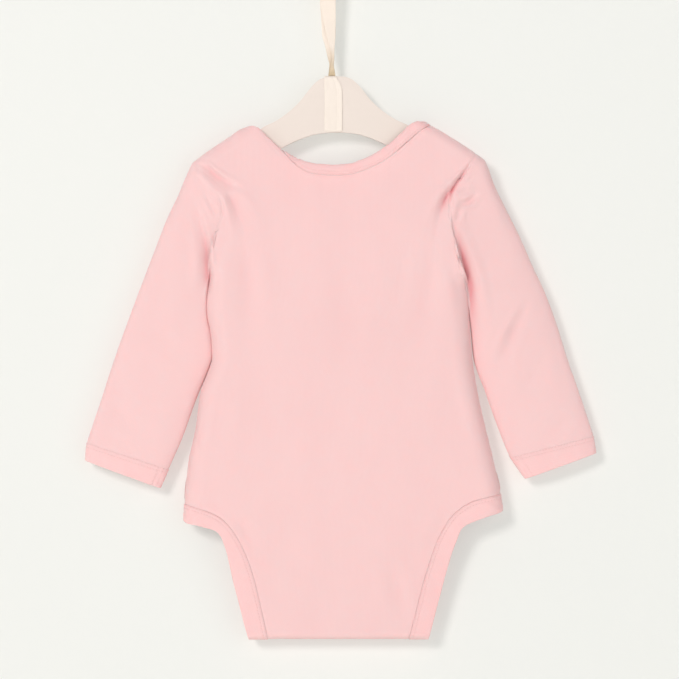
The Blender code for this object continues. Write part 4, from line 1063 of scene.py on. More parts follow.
@dataclass
class LegBinding:
    """Binding of one leg opening: snap flap, crotch fold, back, hip and front.

    Attributes:
        side: The wearer's side.
        leg_rows: Stations along the back, and along the front.
        fold_rows: Stations round the crotch fold.
        flap_rows: Stations down the snap flap.
        columns: Points across it.
        fold_end: Angle left of the crotch fold where the back begins.
    """

    side: Side
    leg_rows: int = 74
    fold_rows: int = 7
    flap_rows: int = 16
    columns: int = 7
    fold_end: float = 0.12

    def band(self) -> Band:
        """The band, from the snap flap's end round to the front's end."""
        table = LEG[self.side]
        turns = np.linspace(0.5 * math.pi, self.fold_end, self.fold_rows)
        heights = np.concatenate([np.linspace(FLAP_Z - CROTCH_Z, CROTCH_ROUND, self.flap_rows)[:-1],
                                  CROTCH_ROUND * (1 - np.cos(turns))])
        steps = np.concatenate([leg_steps(self.leg_rows), [1.0]])
        lines = []
        for first in (0, 2):
            fold_x = np.full_like(heights, table[-1][first])
            x, z = leg_path(table, first, steps[::-1])
            z = np.maximum(z, CROTCH_Z)
            front_x, front_z = leg_path(FRONT_LEG[self.side], first, steps)
            lines.append(np.concatenate([grid_of(fold_x, flap_y(fold_x, heights), CROTCH_Z + heights),
                                         grid_of(x, back_y(x, z, FAR_BELOW), z),
                                         [(table[0][first], 0.0, table[0][first + 1])],
                                         grid_of(front_x, front_y(front_x, front_z), front_z)])[:, None])
        seam, edge = lines
        out = edge - seam
        seam = seam + out / np.linalg.norm(out, axis=2, keepdims=True) * LEG_GAP
        grid = lerp(seam, edge, np.linspace(0, 1, self.columns)[None, :, None])
        return lifted_band(grid, -self.side.value, LEG_ROWS, 23 + self.side.value, seam_dip=0.14, soft=0.18)


# ---------------------------------------------------------------- sleeves
def armhole_point(share: Array, side: Side, front: Array) -> tuple[Array, Array, Array, Array]:
    """Point of the armhole's unfolded ring.

    Args:
        share: Its place from the shoulder tip (0) to the underarm (1).
        side: The wearer's side.
        front: Whether it lies on the front.

    Returns:
        X, z, distance from the garment's middle, and the share of the folds there.
    """
    z = lerp(TIP[side], UNDERARM[side], share)
    x = side_x[side](z)
    room = sides(x, z)
    ridge = room * rounding((TIP[side] - z) / RIDGE_ROUND)
    y = np.where(front, front_depth(z) * ridge, -back_y(x, z, TIP[side] - z, ()))
    return x, z, y, np.where(front, ridge, room)


def ring_section() -> tuple[Array, Array, Array]:
    """Turn, place from the outer edge to the inner one, and fullness of each point of a sleeve's ring."""
    turn = (np.arange(RING_FINE) / RING_FINE + 0.5) % 1.0
    even = 0.5 - 0.5 * np.cos(2 * math.pi * turn)
    return turn, even, (1 - np.abs(2 * even - 1) ** SECTION_POWER) ** (1 / SECTION_POWER)


def ring_normals(grid: Array, facing: float, axis: int) -> Array:
    """Outward normals of rings that close along an axis of their grid."""
    padded = np.pad(grid, [(2, 2) if k == axis else (0, 0) for k in range(3)], mode="wrap")
    normals = normals_of(padded, facing)
    return normals[:, 2:-2] if axis else normals[2:-2]


@dataclass
class Sleeve:
    """A long set-in sleeve, flattened as it hangs.

    Attributes:
        side: The wearer's side.
        rings: Rings from the armhole to the cuff's seam.
        gap: Gap at the armhole seam; the sleeve starts under the panel's edge.
    """

    side: Side
    rings: int = 150
    gap: float = -0.5

    def grid(self) -> Array:
        """Rings of the outer face, each from the inner seam round the back."""
        table, tip = SLEEVE[self.side], TIP[self.side]
        place = (len(table) - 1) * np.linspace(0, 1, self.rings)[:, None] ** RING_CROWDING
        ox, oz, ix, iz, depth, middle = (Curve.through(values)(place) for values in zip(*table))
        turn, even, bulge = ring_section()
        front = turn > 0.5
        reach = abs(tip - UNDERARM[self.side])
        arm_shares = [0.0] + [drop / reach for drop in SHOULDER_DROPS]
        arm_shares += [lerp(arm_shares[-1], 1.0, i / ARM_ROWS) for i in range(1, ARM_ROWS + 1)]
        arm = Curve.through(arm_shares)(np.minimum(turn, 1 - turn) * 2 * (len(arm_shares) - 1))
        fade = 1 - ease(place / SLEEVE_BLEND)
        share = lerp(even, arm, fade)
        arm_x, arm_z, arm_y, room = armhole_point(arm, self.side, front)
        x = lerp(ox, ix, share) + fade * (arm_x - lerp(table[0][0], table[0][2], arm))
        z = lerp(oz, iz, share) + fade * (arm_z - lerp(table[0][1], table[0][3], arm))
        trough = np.where(front, folded(FRONT_FOLDS, x, z, FAR_BELOW),
                          folded(BACK_FOLDS, x, z, np.maximum(tip - z, 0)))
        y = lerp(depth * bulge, arm_y, fade) - trough * lerp(bulge, room, fade)
        tucked = (ease(place / TUCK_SOON) * ease((even - TUCK_FROM) / (1 - TUCK_FROM))
                  * ease((z - TUCK_END) / TUCK_FADE))
        x = x + self.side.value * (self.gap * fade - TUCK * tucked)
        return grid_of(x, middle - np.where(front, -1.0, 1.0) * y, z)

    def build(self) -> bpy.types.Object:
        """The sleeve, drawn in at the armhole, and carried on under the cuff."""
        grid = self.grid()
        normals = ring_normals(grid, -self.side.value, axis=1)
        down = run_length(grid, 0)
        grid = dipped(grid, normals, down, 41 + self.side.value, armhole_dip(grid, self.side))
        grid = dipped(grid, normals, down[-1:] - down, 44 + self.side.value, SLEEVE_END_DIP)
        under = grid[-1:] + UNDER_CUFF * (grid[-1:] - grid[-2:-1]) - UNDER_CUFF_IN * normals[-1:]
        grid = np.concatenate([grid, under])
        closed = np.concatenate([grid, grid[:, :1]], axis=1)
        u, v = run_length(closed, 1), run_length(closed, 0)
        uv = np.stack([u - u[:, -1:] / 2, v - v[-1:]], axis=-1)
        # painted crease shade, from the front's folds or the back's
        deep = np.where(grid[..., 1] > 0, painted_crease_shade(grid, FRONT_FOLDS), painted_crease_shade(grid, BACK_FOLDS))
        return cloth_sheet(f"sleeve_{self.side.word}_knit", grid, uv, deep, ring=True,
                           flip=self.side is Side.RIGHT)


@dataclass
class Cuff:
    """The doubled band at a sleeve's end."""

    side: Side
    columns: int = 9

    def band(self) -> Band:
        """The band, from the sleeve's end to the wrist, as stations round the wrist."""
        t = np.linspace(0, 1, self.columns)[None, :]
        ends = zip(SLEEVE[self.side][-1], CUFF_END[self.side])
        ox, oz, ix, iz, depth, middle = (lerp(a, b, t) for a, b in ends)
        turn, even, bulge = (values[:, None] for values in ring_section())
        sign = np.where(turn > 0.5, -1.0, 1.0)
        grid = grid_of(lerp(ox, ix, even), middle - sign * depth * bulge, lerp(oz, iz, even))
        normals = ring_normals(grid, self.side.value, axis=0)
        lift = CUFF_LIFT + CUFF_UNEVEN * ripple(run_length(grid, 0), 27 + self.side.value, CUFF_WAVE)
        before_edge = np.where(turn < 0.5, np.abs(ix - ox) * (1 - even), np.inf)
        for share, place, reach in CLOSING_DIPS:
            lift = lift - share * CLOSING_DIP * np.exp(-((before_edge - place * CLOSING_PLACE) / reach) ** 2)
        closing = int(np.argmin(np.abs(before_edge[:, 0] - CLOSING_PLACE - CLOSING_STITCHES)))
        return Band(grid + normals * lift[..., None], normals, CUFF_ROWS, seam_dip=0.02, soft=0.1,
                    closed=True, closing=closing)


# ---------------------------------------------------------------- stitches
@dataclass(frozen=True)
class StitchRow:
    """A row of straight stitches, each a small rounded bar of thread.

    Attributes:
        dive: How far its ends go into the cloth, as a share of its height.
        uneven: Most that it lies off its place along the row.
        stray: Most that it lies beside the row.
        lengths: Least and greatest share of its length.
        rings: Place along its half and size of each of its rings, as shares.
    """

    pitch: float = 2.5
    length: float = 2.05
    width: float = 0.5
    height: float = 0.3
    sides: int = 6
    dive: float = 0.45
    uneven: float = 0.08
    stray: float = 0.05
    lengths: tuple[float, float] = (0.93, 1.04)
    rings: tuple[tuple[float, float], ...] = ((-0.72, 0.78), (0.0, 1.0), (0.72, 0.78))

    def along(self, points: Array, facing: Array, closed: bool, seed: int) -> tuple[Array, list[list[int]]]:
        """Meshes of all stitches on a line.

        Args:
            points: Points of the line, in millimetres.
            facing: The cloth's outward normal at each of them.
            closed: Whether the line's end joins its start.
            seed: Seed of the stitches' unevenness.

        Returns:
            Points and faces of the joined stitches.
        """
        if closed:
            points, facing = np.concatenate([points, points[:1]]), np.concatenate([facing, facing[:1]])
        run = run_length(points, 0)
        count = max(1, int(run[-1] / self.pitch))
        pitch = run[-1] / count
        draw = np.random.default_rng(seed)
        at = (np.arange(count) + 0.5) * pitch + draw.uniform(-self.uneven, self.uneven, count)
        middle = sampled(points, run, at)
        ahead = sampled(points, run, at + 0.5) - sampled(points, run, at - 0.5)
        along = ahead / np.linalg.norm(ahead, axis=1, keepdims=True)
        up = sampled(facing, run, at)
        up -= along * np.sum(up * along, axis=1, keepdims=True)
        up /= np.linalg.norm(up, axis=1, keepdims=True)
        over = np.cross(along, up)
        half = self.length / 2 * draw.uniform(*self.lengths, (count, 1))
        middle = middle + over * draw.uniform(-self.stray, self.stray, (count, 1))
        ends = [middle + along * half * way - up * self.height * self.dive for way in (-1, 1)]
        template = ends[:1]
        for reach, size in self.rings:
            for k in range(self.sides):
                angle = 2 * math.pi * k / self.sides
                template.append(middle + along * half * reach
                                + over * (self.width / 2 * size * math.cos(angle))
                                + up * (self.height * size * math.sin(angle)))
        return np.stack(template + ends[1:], axis=1).reshape(-1, 3), self.faces(count)

    def faces(self, count: int) -> list[list[int]]:
        """Faces of a number of stitches."""
        n = self.sides
        one = []
        for k in range(n):
            after = (k + 1) % n
            one.append([0, 1 + after, 1 + k])
            for ring in (0, 1):
                low, high = 1 + ring * n, 1 + (ring + 1) * n
                one.append([low + k, low + after, high + after, high + k])
            one.append([1 + 2 * n + k, 1 + 2 * n + after, 1 + 3 * n])
        step = 3 * n + 2
        return [[corner + step * i for corner in face] for i in range(count) for face in one]


def sampled(values: Array, run: Array, at: Array) -> Array:
    """Rows of an array at some distances along it."""
    return np.stack([np.interp(at, run, values[:, k]) for k in range(values.shape[1])], axis=1)


def stitched(name: str, lines: Sequence[tuple[Array, Array, bool]], row: StitchRow,
             seed: int) -> bpy.types.Object:
    """All stitches of a seam as one piece.

    Args:
        name: The piece's name.
        lines: Points, normals and whether closed, for each row of stitches.
        row: Sizes of the stitches.
        seed: Seed of their unevenness.

    Returns:
        The finished piece.
    """
    points, faces = np.zeros((0, 3)), []
    for number, (line, facing, closed) in enumerate(lines):
        made, own = row.along(line, facing, closed, seed + number)
        faces += [[corner + len(points) for corner in face] for face in own]
        points = np.concatenate([points, made])
    piece = make_piece(name, points, faces)
    face_outwards(piece)
    return piece


# ---------------------------------------------------------------- hanger and ribbon
@dataclass
class Hanger:
    """Flat painted plate hanger with a high middle and two arms.

    Attributes:
        tilt: Slope of the hung plate.
        reach: Distance from its middle at which an arm starts to round off, to end.
        crowding: How much closer the columns stand at the ends.
        top: Distance from its middle and z of its upper edge.
        arch: Distance from its middle and z of its lower edge.
    """

    middle_x: float = -3.2
    thick: float = 4.5
    tilt: float = 0.014
    reach: float = 100.0
    end: float = 104.5
    bevel: float = 1.1
    columns: int = 180
    crowding: float = 0.35
    top: tuple[tuple[float, float], ...] = (
        (0, -85.6), (6, -85.9), (12, -87.6), (17, -91.4), (22.4, -97.6), (27.2, -103.8),
        (32.8, -109.6), (39.2, -115), (48.8, -121.2), (57.6, -125.4), (64, -130.4), (72, -133),
        (80, -135.8), (90, -142.2), (100, -149.2),
    )
    arch: tuple[tuple[float, float], ...] = (
        (0, -130.2), (14, -131.4), (28, -135.4), (42, -141.8), (58, -149.6),
        (76, -157.6), (90, -162), (100, -163.4),
    )

    def edges(self, x: Array) -> tuple[Array, Array]:
        """Z of the upper and the lower edge at distances from the middle, rounded at the ends."""
        r = np.abs(x)
        top, low = Curve(self.top)(r), Curve(self.arch)(r)
        tip = np.clip((r - self.reach) / (self.end - self.reach), 0.0, 1.0)
        middle, half = (top + low) / 2, (top - low) / 2 * np.sqrt(np.maximum(1 - tip ** 2, 0.004))
        lean = x * self.tilt
        return middle + half + lean, middle - half + lean

    def build(self) -> bpy.types.Object:
        """The plate, shaped from a flat grid, thickened and bevelled.

        Returns:
            The finished piece.
        """
        bpy.ops.object.select_all(action="DESELECT")
        bpy.ops.mesh.primitive_grid_add(x_subdivisions=self.columns, y_subdivisions=6, size=2.0,
                                        location=(0.0, 0.0, 0.0))
        piece = bpy.context.object
        piece.name = "hanger_plate"
        mesh = piece.data
        flat = np.array([vertex.co for vertex in mesh.vertices])
        x = self.end * lerp(flat[:, 0], np.sin(flat[:, 0] * math.pi / 2), self.crowding)
        top, low = self.edges(x)
        placed = world(grid_of(x + self.middle_x, self.thick / 2, lerp(low, top, (flat[:, 1] + 1) / 2)))
        mesh.vertices.foreach_set("co", placed.astype(np.float32).ravel())
        bpy.ops.object.mode_set(mode="EDIT")
        bpy.ops.mesh.select_all(action="SELECT")
        bpy.ops.mesh.extrude_region_move(TRANSFORM_OT_translate={"value": (0.0, -self.thick * MM, 0.0)})
        bpy.ops.object.mode_set(mode="OBJECT")
        face_outwards(piece)
        add_modifier(piece, "BEVEL", width=self.bevel * MM, segments=4, limit_method="ANGLE",
                     angle_limit=math.radians(50))
        bpy.ops.object.shade_smooth_by_angle(angle=math.radians(35))
        return piece


def ribbon_wall(name: str, middle: Array, facing: Array, wall: float, loop: bool,
                uv: Array) -> bpy.types.Object:
    """A ribbon's wall on both sides of its middle surface, with rounded selvedges.

    Args:
        name: The piece's name.
        middle: Points of its middle surface.
        facing: Normals there.
        wall: Its thickness.
        loop: Whether its last row joins the first.
        uv: Cloth coordinates, in millimetres.

    Returns:
        The finished piece.
    """
    across = np.linspace(-1, 1, middle.shape[1])[None, :, None]
    half = wall / 2 * np.sqrt(np.maximum(1 - np.abs(across) ** 10, 0.05))
    rings = np.concatenate([middle + facing * half, (middle - facing * half)[:, ::-1]], axis=1)
    both = np.concatenate([uv, uv[:, ::-1], uv[:, :1]], axis=1)
    return tube(name, rings, np.concatenate([both, both[:1]]) if loop else both, loop)


@dataclass
class RibbonWrap:
    """Ribbon wound once round the middle of the hanger plate.

    Attributes:
        radius: Radius of its turns over the plate's edges.
        corner: How far its upper right corner is turned in, over corner_height.
        shift: How far it strays to the side.
        lift: How far its right selvedge stands off, from lift_from across.
        crease: Depth of the crease at a share fold across.
    """

    left: float = -12.0
    right: float = 2.2
    top: float = -85.3
    low: float = -130.5
    wall: float = 0.4
    plate: float = 4.5
    gap: float = 0.12
    radius: float = 1.7
    corner: float = 4.6
    corner_height: float = 6.0
    shift: float = 0.18
    wave: float = 0.03
    lift: float = 0.35
    lift_from: float = 0.8
    crease: float = 0.14
    crease_width: float = 0.05
    fold: float = 0.7
    rows: int = 44
    columns: int = 31

    def build(self) -> bpy.types.Object:
        """The band, as one closed turn."""
        turns = np.linspace(0, math.pi, 15)[1:-1]
        flat, rise = np.ones(self.rows), self.radius * (1 - np.sin(turns))
        straight = np.linspace(self.top - self.radius, self.low + self.radius, self.rows)
        out_y = np.concatenate([-flat, -np.cos(turns), flat, np.cos(turns)])[:, None]
        out_z = np.concatenate([0 * flat, -np.sin(turns), 0 * flat, np.sin(turns)])[:, None]
        z = np.concatenate([straight, self.low + rise, straight[::-1], self.top - rise])[:, None]
        t = np.linspace(0, 1, self.columns)[None, :]
        corner = self.corner * np.exp(-((self.top - z) / self.corner_height) ** 2)
        x = lerp(self.left, self.right - corner, t) + self.shift * ripple(z, 51, 30.0)
        wave = (self.wave * ripple(z + 3.0 * x, 52, 18.0)
                + self.lift * ease((t - self.lift_from) / (1 - self.lift_from))
                - self.crease * np.exp(-((t - self.fold) / self.crease_width) ** 2))
        middle = grid_of(x, out_y * (self.plate / 2 + self.gap + self.wall / 2 + wave), z)
        run = run_length(middle[:, 0], 0)[:, None]
        uv = np.stack(np.broadcast_arrays(x - self.left, run), axis=-1)
        return ribbon_wall("wrapped_ribbon", middle, grid_of(0 * x, out_y, out_z), self.wall, True, uv)


@dataclass
class RibbonLoop:
    """The doubled ribbon that the hanger hangs from.

    Attributes:
        apart: Half the plies' distance below open_z; above it they part to the loop's radius.
        pinch_z: Height below which the plies are gathered.
        curl: How far the selvedges curl outwards, and how much more where gathered (gather).
        pleat: Depth of the pleats where gathered.
        twist: How far a ply leans out on one side, below twist_z, in waves of twist_wave.
        tight: Plies closer than this curl less, by the share tight_share.
        plies: z, x and half width of the back ply, x and half width of the front ply.
    """

    wall: float = 0.8
    low: float = -85.0
    radius: float = 5.2
    apart: float = 1.05
    open_z: float = -46.0
    open_height: float = 40.0
    pinch_z: float = -52.0
    pinch_height: float = 20.0
    curl: float = 0.1575
    gather: float = 0.405
    pleat: float = 0.27
    twist: float = 0.35
    twist_z: float = -24.0
    twist_height: float = 14.0
    twist_wave: float = 7.0
    tight: float = 1.4
    tight_share: float = 0.3
    rows: int = 110
    columns: int = 25
    plies: tuple[tuple[float, ...], ...] = (
        (-87, -6, 2.9, -6.1, 3.1), (-82, -5.9, 2.2, -6.2, 2.4), (-76, -5.5, 1, -6.3, 1.8),
        (-70.4, -5, 0.8, -7.3, 2.2), (-61.6, -5.9, 2.1, -8.6, 2.8), (-52.8, -6.8, 3.7, -9.6, 4.2),
        (-40, -8.1, 5.1, -9.2, 5.4), (-24, -9.2, 6.2, -9.3, 6.3), (-8, -9.2, 6.3, -9.2, 6.4),
    )

    def build(self) -> bpy.types.Object:
        """The ribbon: back ply up, over the loop, front ply down."""
        heights, *columns = zip(*self.plies)
        back_x, back_half, front_x, front_half = (Curve(list(zip(heights, values))) for values in columns)
        z = np.linspace(self.low, -self.radius, self.rows)
        gap = lerp(self.apart, self.radius, ease((z - self.open_z) / self.open_height))
        turns = np.linspace(0, math.pi, 20)[1:-1]
        over = np.ones_like(turns)
        x = np.concatenate([back_x(z), self.plies[-1][1] * over, front_x(z)[::-1]])[:, None]
        half = np.concatenate([back_half(z), self.plies[-1][4] * over, front_half(z)[::-1]])[:, None]
        height = np.concatenate([z, self.radius * (np.sin(turns) - 1), z[::-1]])[:, None]
        depth = np.concatenate([-gap, -self.radius * np.cos(turns), gap[::-1]])[:, None]
        t = np.linspace(-1, 1, self.columns)[None, :]
        pinch = ease((self.pinch_z - height) / self.pinch_height)
        curl = (self.curl + self.gather * pinch) * t ** 2 - self.pleat * pinch * np.cos(3 * math.pi * t)
        twist = self.twist * t * ease((self.twist_z - height) / self.twist_height) * (1 - pinch)
        limit = np.where(np.abs(depth) < self.tight, self.tight_share, 1.0)
        y = depth + np.sign(depth) * limit * (curl + twist * np.sin(height / self.twist_wave))
        grid = grid_of(x + t * half, y, height)
        run = run_length(grid[:, self.columns // 2], 0)[:, None]
        uv = np.stack(np.broadcast_arrays(t * RIBBON_HALF, run), axis=-1)
        return ribbon_wall("ribbon_loop", grid, normals_of(grid, 1), self.wall, False, uv)


# ---------------------------------------------------------------- snaps
@dataclass
class Snap:
    """One press snap: a ring cap outside the flap and a socket between flap and front.

    Attributes:
        gap: Gap between a fitting and the cloth.
        cap: How far inside the cap's radius, and height, of its turned profile.
        stud: The same for the socket, with heights as shares of its thickness.
    """

    number: int
    x: float
    z: float = -515.0
    gap: float = 0.4
    cap_radius: float = 4.8
    stud_radius: float = 3.6
    cap: tuple[tuple[float, float], ...] = (
        (0.5, 0), (0.12, 0.12), (0, 0.45), (0.05, 0.9), (0.35, 1.3), (0.8, 1.5), (1.3, 1.42), (1.6, 1.15),
        (1.75, 0.8), (2, 0.66), (3.3, 0.62), (3.6, 0.72), (4.1, 0.84), (4.6, 0.88),
    )
    stud: tuple[tuple[float, float], ...] = (
        (0.35, 0), (0, 0.2), (0, 0.55), (0.3, 0.75), (0.9, 0.8), (1.2, 0.72), (1.6, 0.74), (1.9, 1), (3.2, 1),
    )

    def turned(self, name: str, profile: Sequence[tuple[float, float]], start: float) -> bpy.types.Object:
        """A turned fitting on the y axis.

        Args:
            name: The piece's name.
            profile: Its (radius, height) points, from the axis outwards and back, in millimetres.
            start: The y at which its height starts.

        Returns:
            The finished piece.
        """
        bpy.ops.object.select_all(action="DESELECT")
        bpy.ops.mesh.primitive_circle_add(vertices=48, radius=profile[0][0] * MM, fill_type="NGON",
                                          location=(0.0, 0.0, 0.0), rotation=(math.pi / 2, 0.0, 0.0))
        piece = bpy.context.object
        bpy.ops.object.transform_apply(location=True, rotation=True, scale=True)
        piece.name = name
        bpy.ops.object.mode_set(mode="EDIT")
        bpy.ops.mesh.select_all(action="SELECT")
        x, y, z = (self.x + HANG_OFFSET_X) * MM, start * MM, self.z * MM
        bpy.ops.transform.translate(value=(x, y + profile[0][1] * MM, z))
        for (radius, height), (new_radius, new_height) in zip(profile, profile[1:]):
            bpy.ops.mesh.extrude_region_move(
                TRANSFORM_OT_translate={"value": (0.0, (new_height - height) * MM, 0.0)})
            share = new_radius / radius
            bpy.ops.transform.resize(value=(share, 1.0, share), center_override=(x, y + new_height * MM, z))
        bpy.ops.object.mode_set(mode="OBJECT")
        face_outwards(piece, 40.0)
        return piece

    def build(self) -> tuple[bpy.types.Object, bpy.types.Object]:
        """The cap and the socket."""
        cap = [(self.cap_radius - inset, height) for inset, height in self.cap]
        start = float(front_y(np.array([self.x]), np.array([self.z]))[0]) + self.gap
        thick = FLAP_DEPTH - CLOTH - self.gap - start
        stud = [(self.stud_radius - inset, share * thick) for inset, share in self.stud]
        return (self.turned(f"snap_cap_{self.number}_painted", cap, FLAP_DEPTH + self.gap),
                self.turned(f"snap_stud_{self.number}_painted", stud, start))


# ---------------------------------------------------------------- finishes
Colour = tuple[float, float, float]
Socket = bpy.types.NodeSocket


class Graph:
    """A material's nodes, and short ways to add and join them."""

    def __init__(self, name: str) -> None:
        """Start a material with its default shader."""
        self.material = bpy.data.materials.new(name)
        self.material.use_nodes = True
        self.tree = self.material.node_tree
        self.shader = self.tree.nodes["Principled BSDF"]

    def node(self, kind: str, **settings: object) -> bpy.types.Node:
        """Adds a node with these settings."""
        made = self.tree.nodes.new(f"ShaderNode{kind}")
        for key, value in settings.items():
            setattr(made, key, value)
        return made

    def join(self, source: Socket | Colour | float, target: Socket) -> None:
        """Links a socket to another, or sets a colour or a number on it."""
        if isinstance(source, Socket):
            self.tree.links.new(source, target)
        else:
            target.default_value = (*source, 1.0) if isinstance(source, tuple) else source

    def calc(self, operation: str, *values: Socket | float) -> Socket:
        """Result of a maths operation on sockets or numbers."""
        made = self.node("Math", operation=operation)
        for value, target in zip(values, made.inputs):
            self.join(value, target)
        return made.outputs[0]

    def wave(self, value: Socket, pitch: float) -> Socket:
        """Sine with this pitch."""
        return self.calc("SINE", self.calc("MULTIPLY", value, 2 * math.pi / pitch))

    def total(self, start: Socket | float, *parts: tuple[Socket, float]) -> Socket:
        """A start plus each value times its share."""
        for value, share in parts:
            start = self.calc("MULTIPLY_ADD", value, share, start)
        return start

    def split(self, source: Socket) -> Sequence[Socket]:
        """The three parts of a vector."""
        parts = self.node("SeparateXYZ")
        self.join(source, parts.inputs[0])
        return parts.outputs

    def cloth_uv(self) -> tuple[Socket, Socket]:
        """U and v of the piece's own cloth map, in metres."""
        u, v, _ = self.split(self.node("UVMap", uv_map="cloth").outputs[0])
        return u, v

    def place(self) -> Socket:
        """Object coordinates."""
        return self.node("TexCoord").outputs["Object"]

    def noise(self, scale: float, detail: float = 2.0, stretch: Colour = (1.0, 1.0, 1.0)) -> Socket:
        """Noise on Object coordinates.

        Args:
            scale: Number of bumps a metre.
            detail: Number of finer layers.
            stretch: Factor on that number along each axis.

        Returns:
            Its value, from 0 to 1.
        """
        mapping, texture = self.node("Mapping"), self.node("TexNoise")
        mapping.inputs["Scale"].default_value = stretch
        self.join(scale, texture.inputs["Scale"])
        self.join(detail, texture.inputs["Detail"])
        self.join(self.place(), mapping.inputs["Vector"])
        self.join(mapping.outputs[0], texture.inputs["Vector"])
        return texture.outputs["Fac"]

    def mix(self, share: Socket, a: Socket | Colour, b: Socket | Colour) -> Socket:
        """Colour a share of the way from one to another."""
        made = self.node("Mix", data_type="RGBA")
        for value, name in ((share, "Factor"), (a, "A"), (b, "B")):
            self.join(value, made.inputs[name])
        return made.outputs["Result"]

    def bump(self, height: Socket, distance: float, under: Socket | None = None) -> Socket:
        """Normal of a bump of this depth in metres, on top of another."""
        made = self.node("Bump")
        self.join(1.0, made.inputs["Strength"])
        self.join(distance, made.inputs["Distance"])
        self.join(height, made.inputs["Height"])
        if under is not None:
            self.join(under, made.inputs["Normal"])
        return made.outputs["Normal"]

    def finish(self, colour: Socket, roughness: Socket | float, normal: Socket,
               **values: float) -> bpy.types.Material:
        """Joins the shader's colour, roughness and normal, and sets its own sockets, _ for a space."""
        for source, name in ((colour, "Base Color"), (roughness, "Roughness"), (normal, "Normal")):
            self.join(source, self.shader.inputs[name])
        for key, value in values.items():
            self.join(value, self.shader.inputs[key.replace("_", " ")])
        return self.material


@dataclass(frozen=True)
class Finish:
    """A procedural finish.

    Attributes:
        name: The material's name.
        light: Colour of what stands out, such as the loops' or threads' tops, and of the lighter random tone.
        dark: Colour of what lies deep, between the loops or threads, where it is painted shade, and of the
            darker random tone.
    """

    name: str
    light: Colour
    dark: Colour

    def build(self) -> bpy.types.Material:
        """The material."""
        raise NotImplementedError


@dataclass(frozen=True)
class KnitFinish(Finish):
    """Smooth interlock or rib knit in cotton, with painted shade in its creases and between its loops.

    Attributes:
        wale: Distance between two columns of loops, in metres.
        course: Distance between two rows of loops, in metres.
        relief: Depth of the loops, in metres.
        rib: Depth of the ribs' troughs as a share of the relief; 0 is a plain face.
        deep: Painted shade colour that the deepest creases are tinted towards, standing in for their shadow
            and pink bounce light, up to the share given next.
    """

    wale: float = 0.00095
    course: float = 0.00085
    relief: float = 0.00009
    rib: float = 0.0
    deep: Colour = (0.76, 0.29, 0.31)
    crease_shade_share: float = 0.8

    def build(self) -> bpy.types.Material:
        """The material."""
        graph = Graph(self.name)
        u, v = graph.cloth_uv()
        column = graph.calc("MULTIPLY", u, 1 / self.wale)
        trough = graph.wave(u, 2 * self.wale)
        ridge = graph.calc("POWER", graph.calc("ABSOLUTE", trough), 0.6)
        leg = graph.calc("PINGPONG", column, 0.5)
        slant = graph.total(graph.calc("MULTIPLY", v, 1 / self.course), (leg, 1.1))
        height = graph.calc("MULTIPLY", ridge, graph.total(0.8, (graph.wave(slant, 1.0), 0.2)))
        if self.rib > 0:
            height = graph.total(height, (trough, self.rib))
        fuzz = graph.noise(2600.0, 3.0)
        slub = graph.noise(38.0, 3.0, (1.0, 1.0, 0.35))
        # the loops' height darkens the hollows between them as painted shade; fuzz and slub add random yarn
        # tone
        tone = graph.total(0.0, (height, 0.42), (fuzz, 0.3), (slub, 0.4))
        # painted crease shade: the crease attribute tints the colour towards the deep shade colour
        crease = graph.node("Attribute", attribute_name="crease").outputs["Fac"]
        colour = graph.mix(graph.calc("MULTIPLY", crease, self.crease_shade_share),
                           graph.mix(tone, self.dark, self.light), self.deep)
        normal = graph.bump(height, self.relief, graph.bump(fuzz, self.relief * 0.5))
        graph.shader.inputs["Subsurface Radius"].default_value = (1.0, 0.42, 0.38)
        return graph.finish(colour, graph.total(0.8, (slub, 0.12)), normal, Sheen_Weight=0.12,
                            Sheen_Roughness=0.45, Specular_IOR_Level=0.25, Subsurface_Weight=0.35,
                            Subsurface_Scale=0.0016)


@dataclass(frozen=True)
class ThreadFinish(Finish):
    """Spun sewing thread in the cloth's colour."""

    def build(self) -> bpy.types.Material:
        """The material."""
        graph = Graph(self.name)
        twist = graph.noise(3200.0)
        return graph.finish(graph.mix(twist, self.dark, self.light), graph.total(0.5, (twist, 0.15)),
                            graph.bump(twist, 0.00006), Sheen_Weight=0.1, Specular_IOR_Level=0.35)


@dataclass(frozen=True)
class SnapFinish(Finish):
    """Painted metal of a press snap, with fine random specks."""

    def build(self) -> bpy.types.Material:
        """The material."""
        graph = Graph(self.name)
        speck = graph.noise(1400.0, 3.0)
        return graph.finish(graph.mix(speck, self.dark, self.light), graph.total(0.28, (speck, 0.15)),
                            graph.bump(speck, 0.00002), Specular_IOR_Level=0.5, Coat_Weight=0.25,
                            Coat_Roughness=0.2)


@dataclass(frozen=True)
class PlateFinish(Finish):
    """Satin paint over fine-grained board."""

    def build(self) -> bpy.types.Material:
        """The material."""
        graph = Graph(self.name)
        grain = graph.noise(60.0, 4.0, (0.25, 1.0, 2.2))
        tone = graph.total(0.0, (grain, 0.7), (graph.noise(900.0), 0.3))
        return graph.finish(graph.mix(tone, self.dark, self.light), graph.total(0.42, (grain, 0.14)),
                            graph.bump(tone, 0.00004), Specular_IOR_Level=0.4)


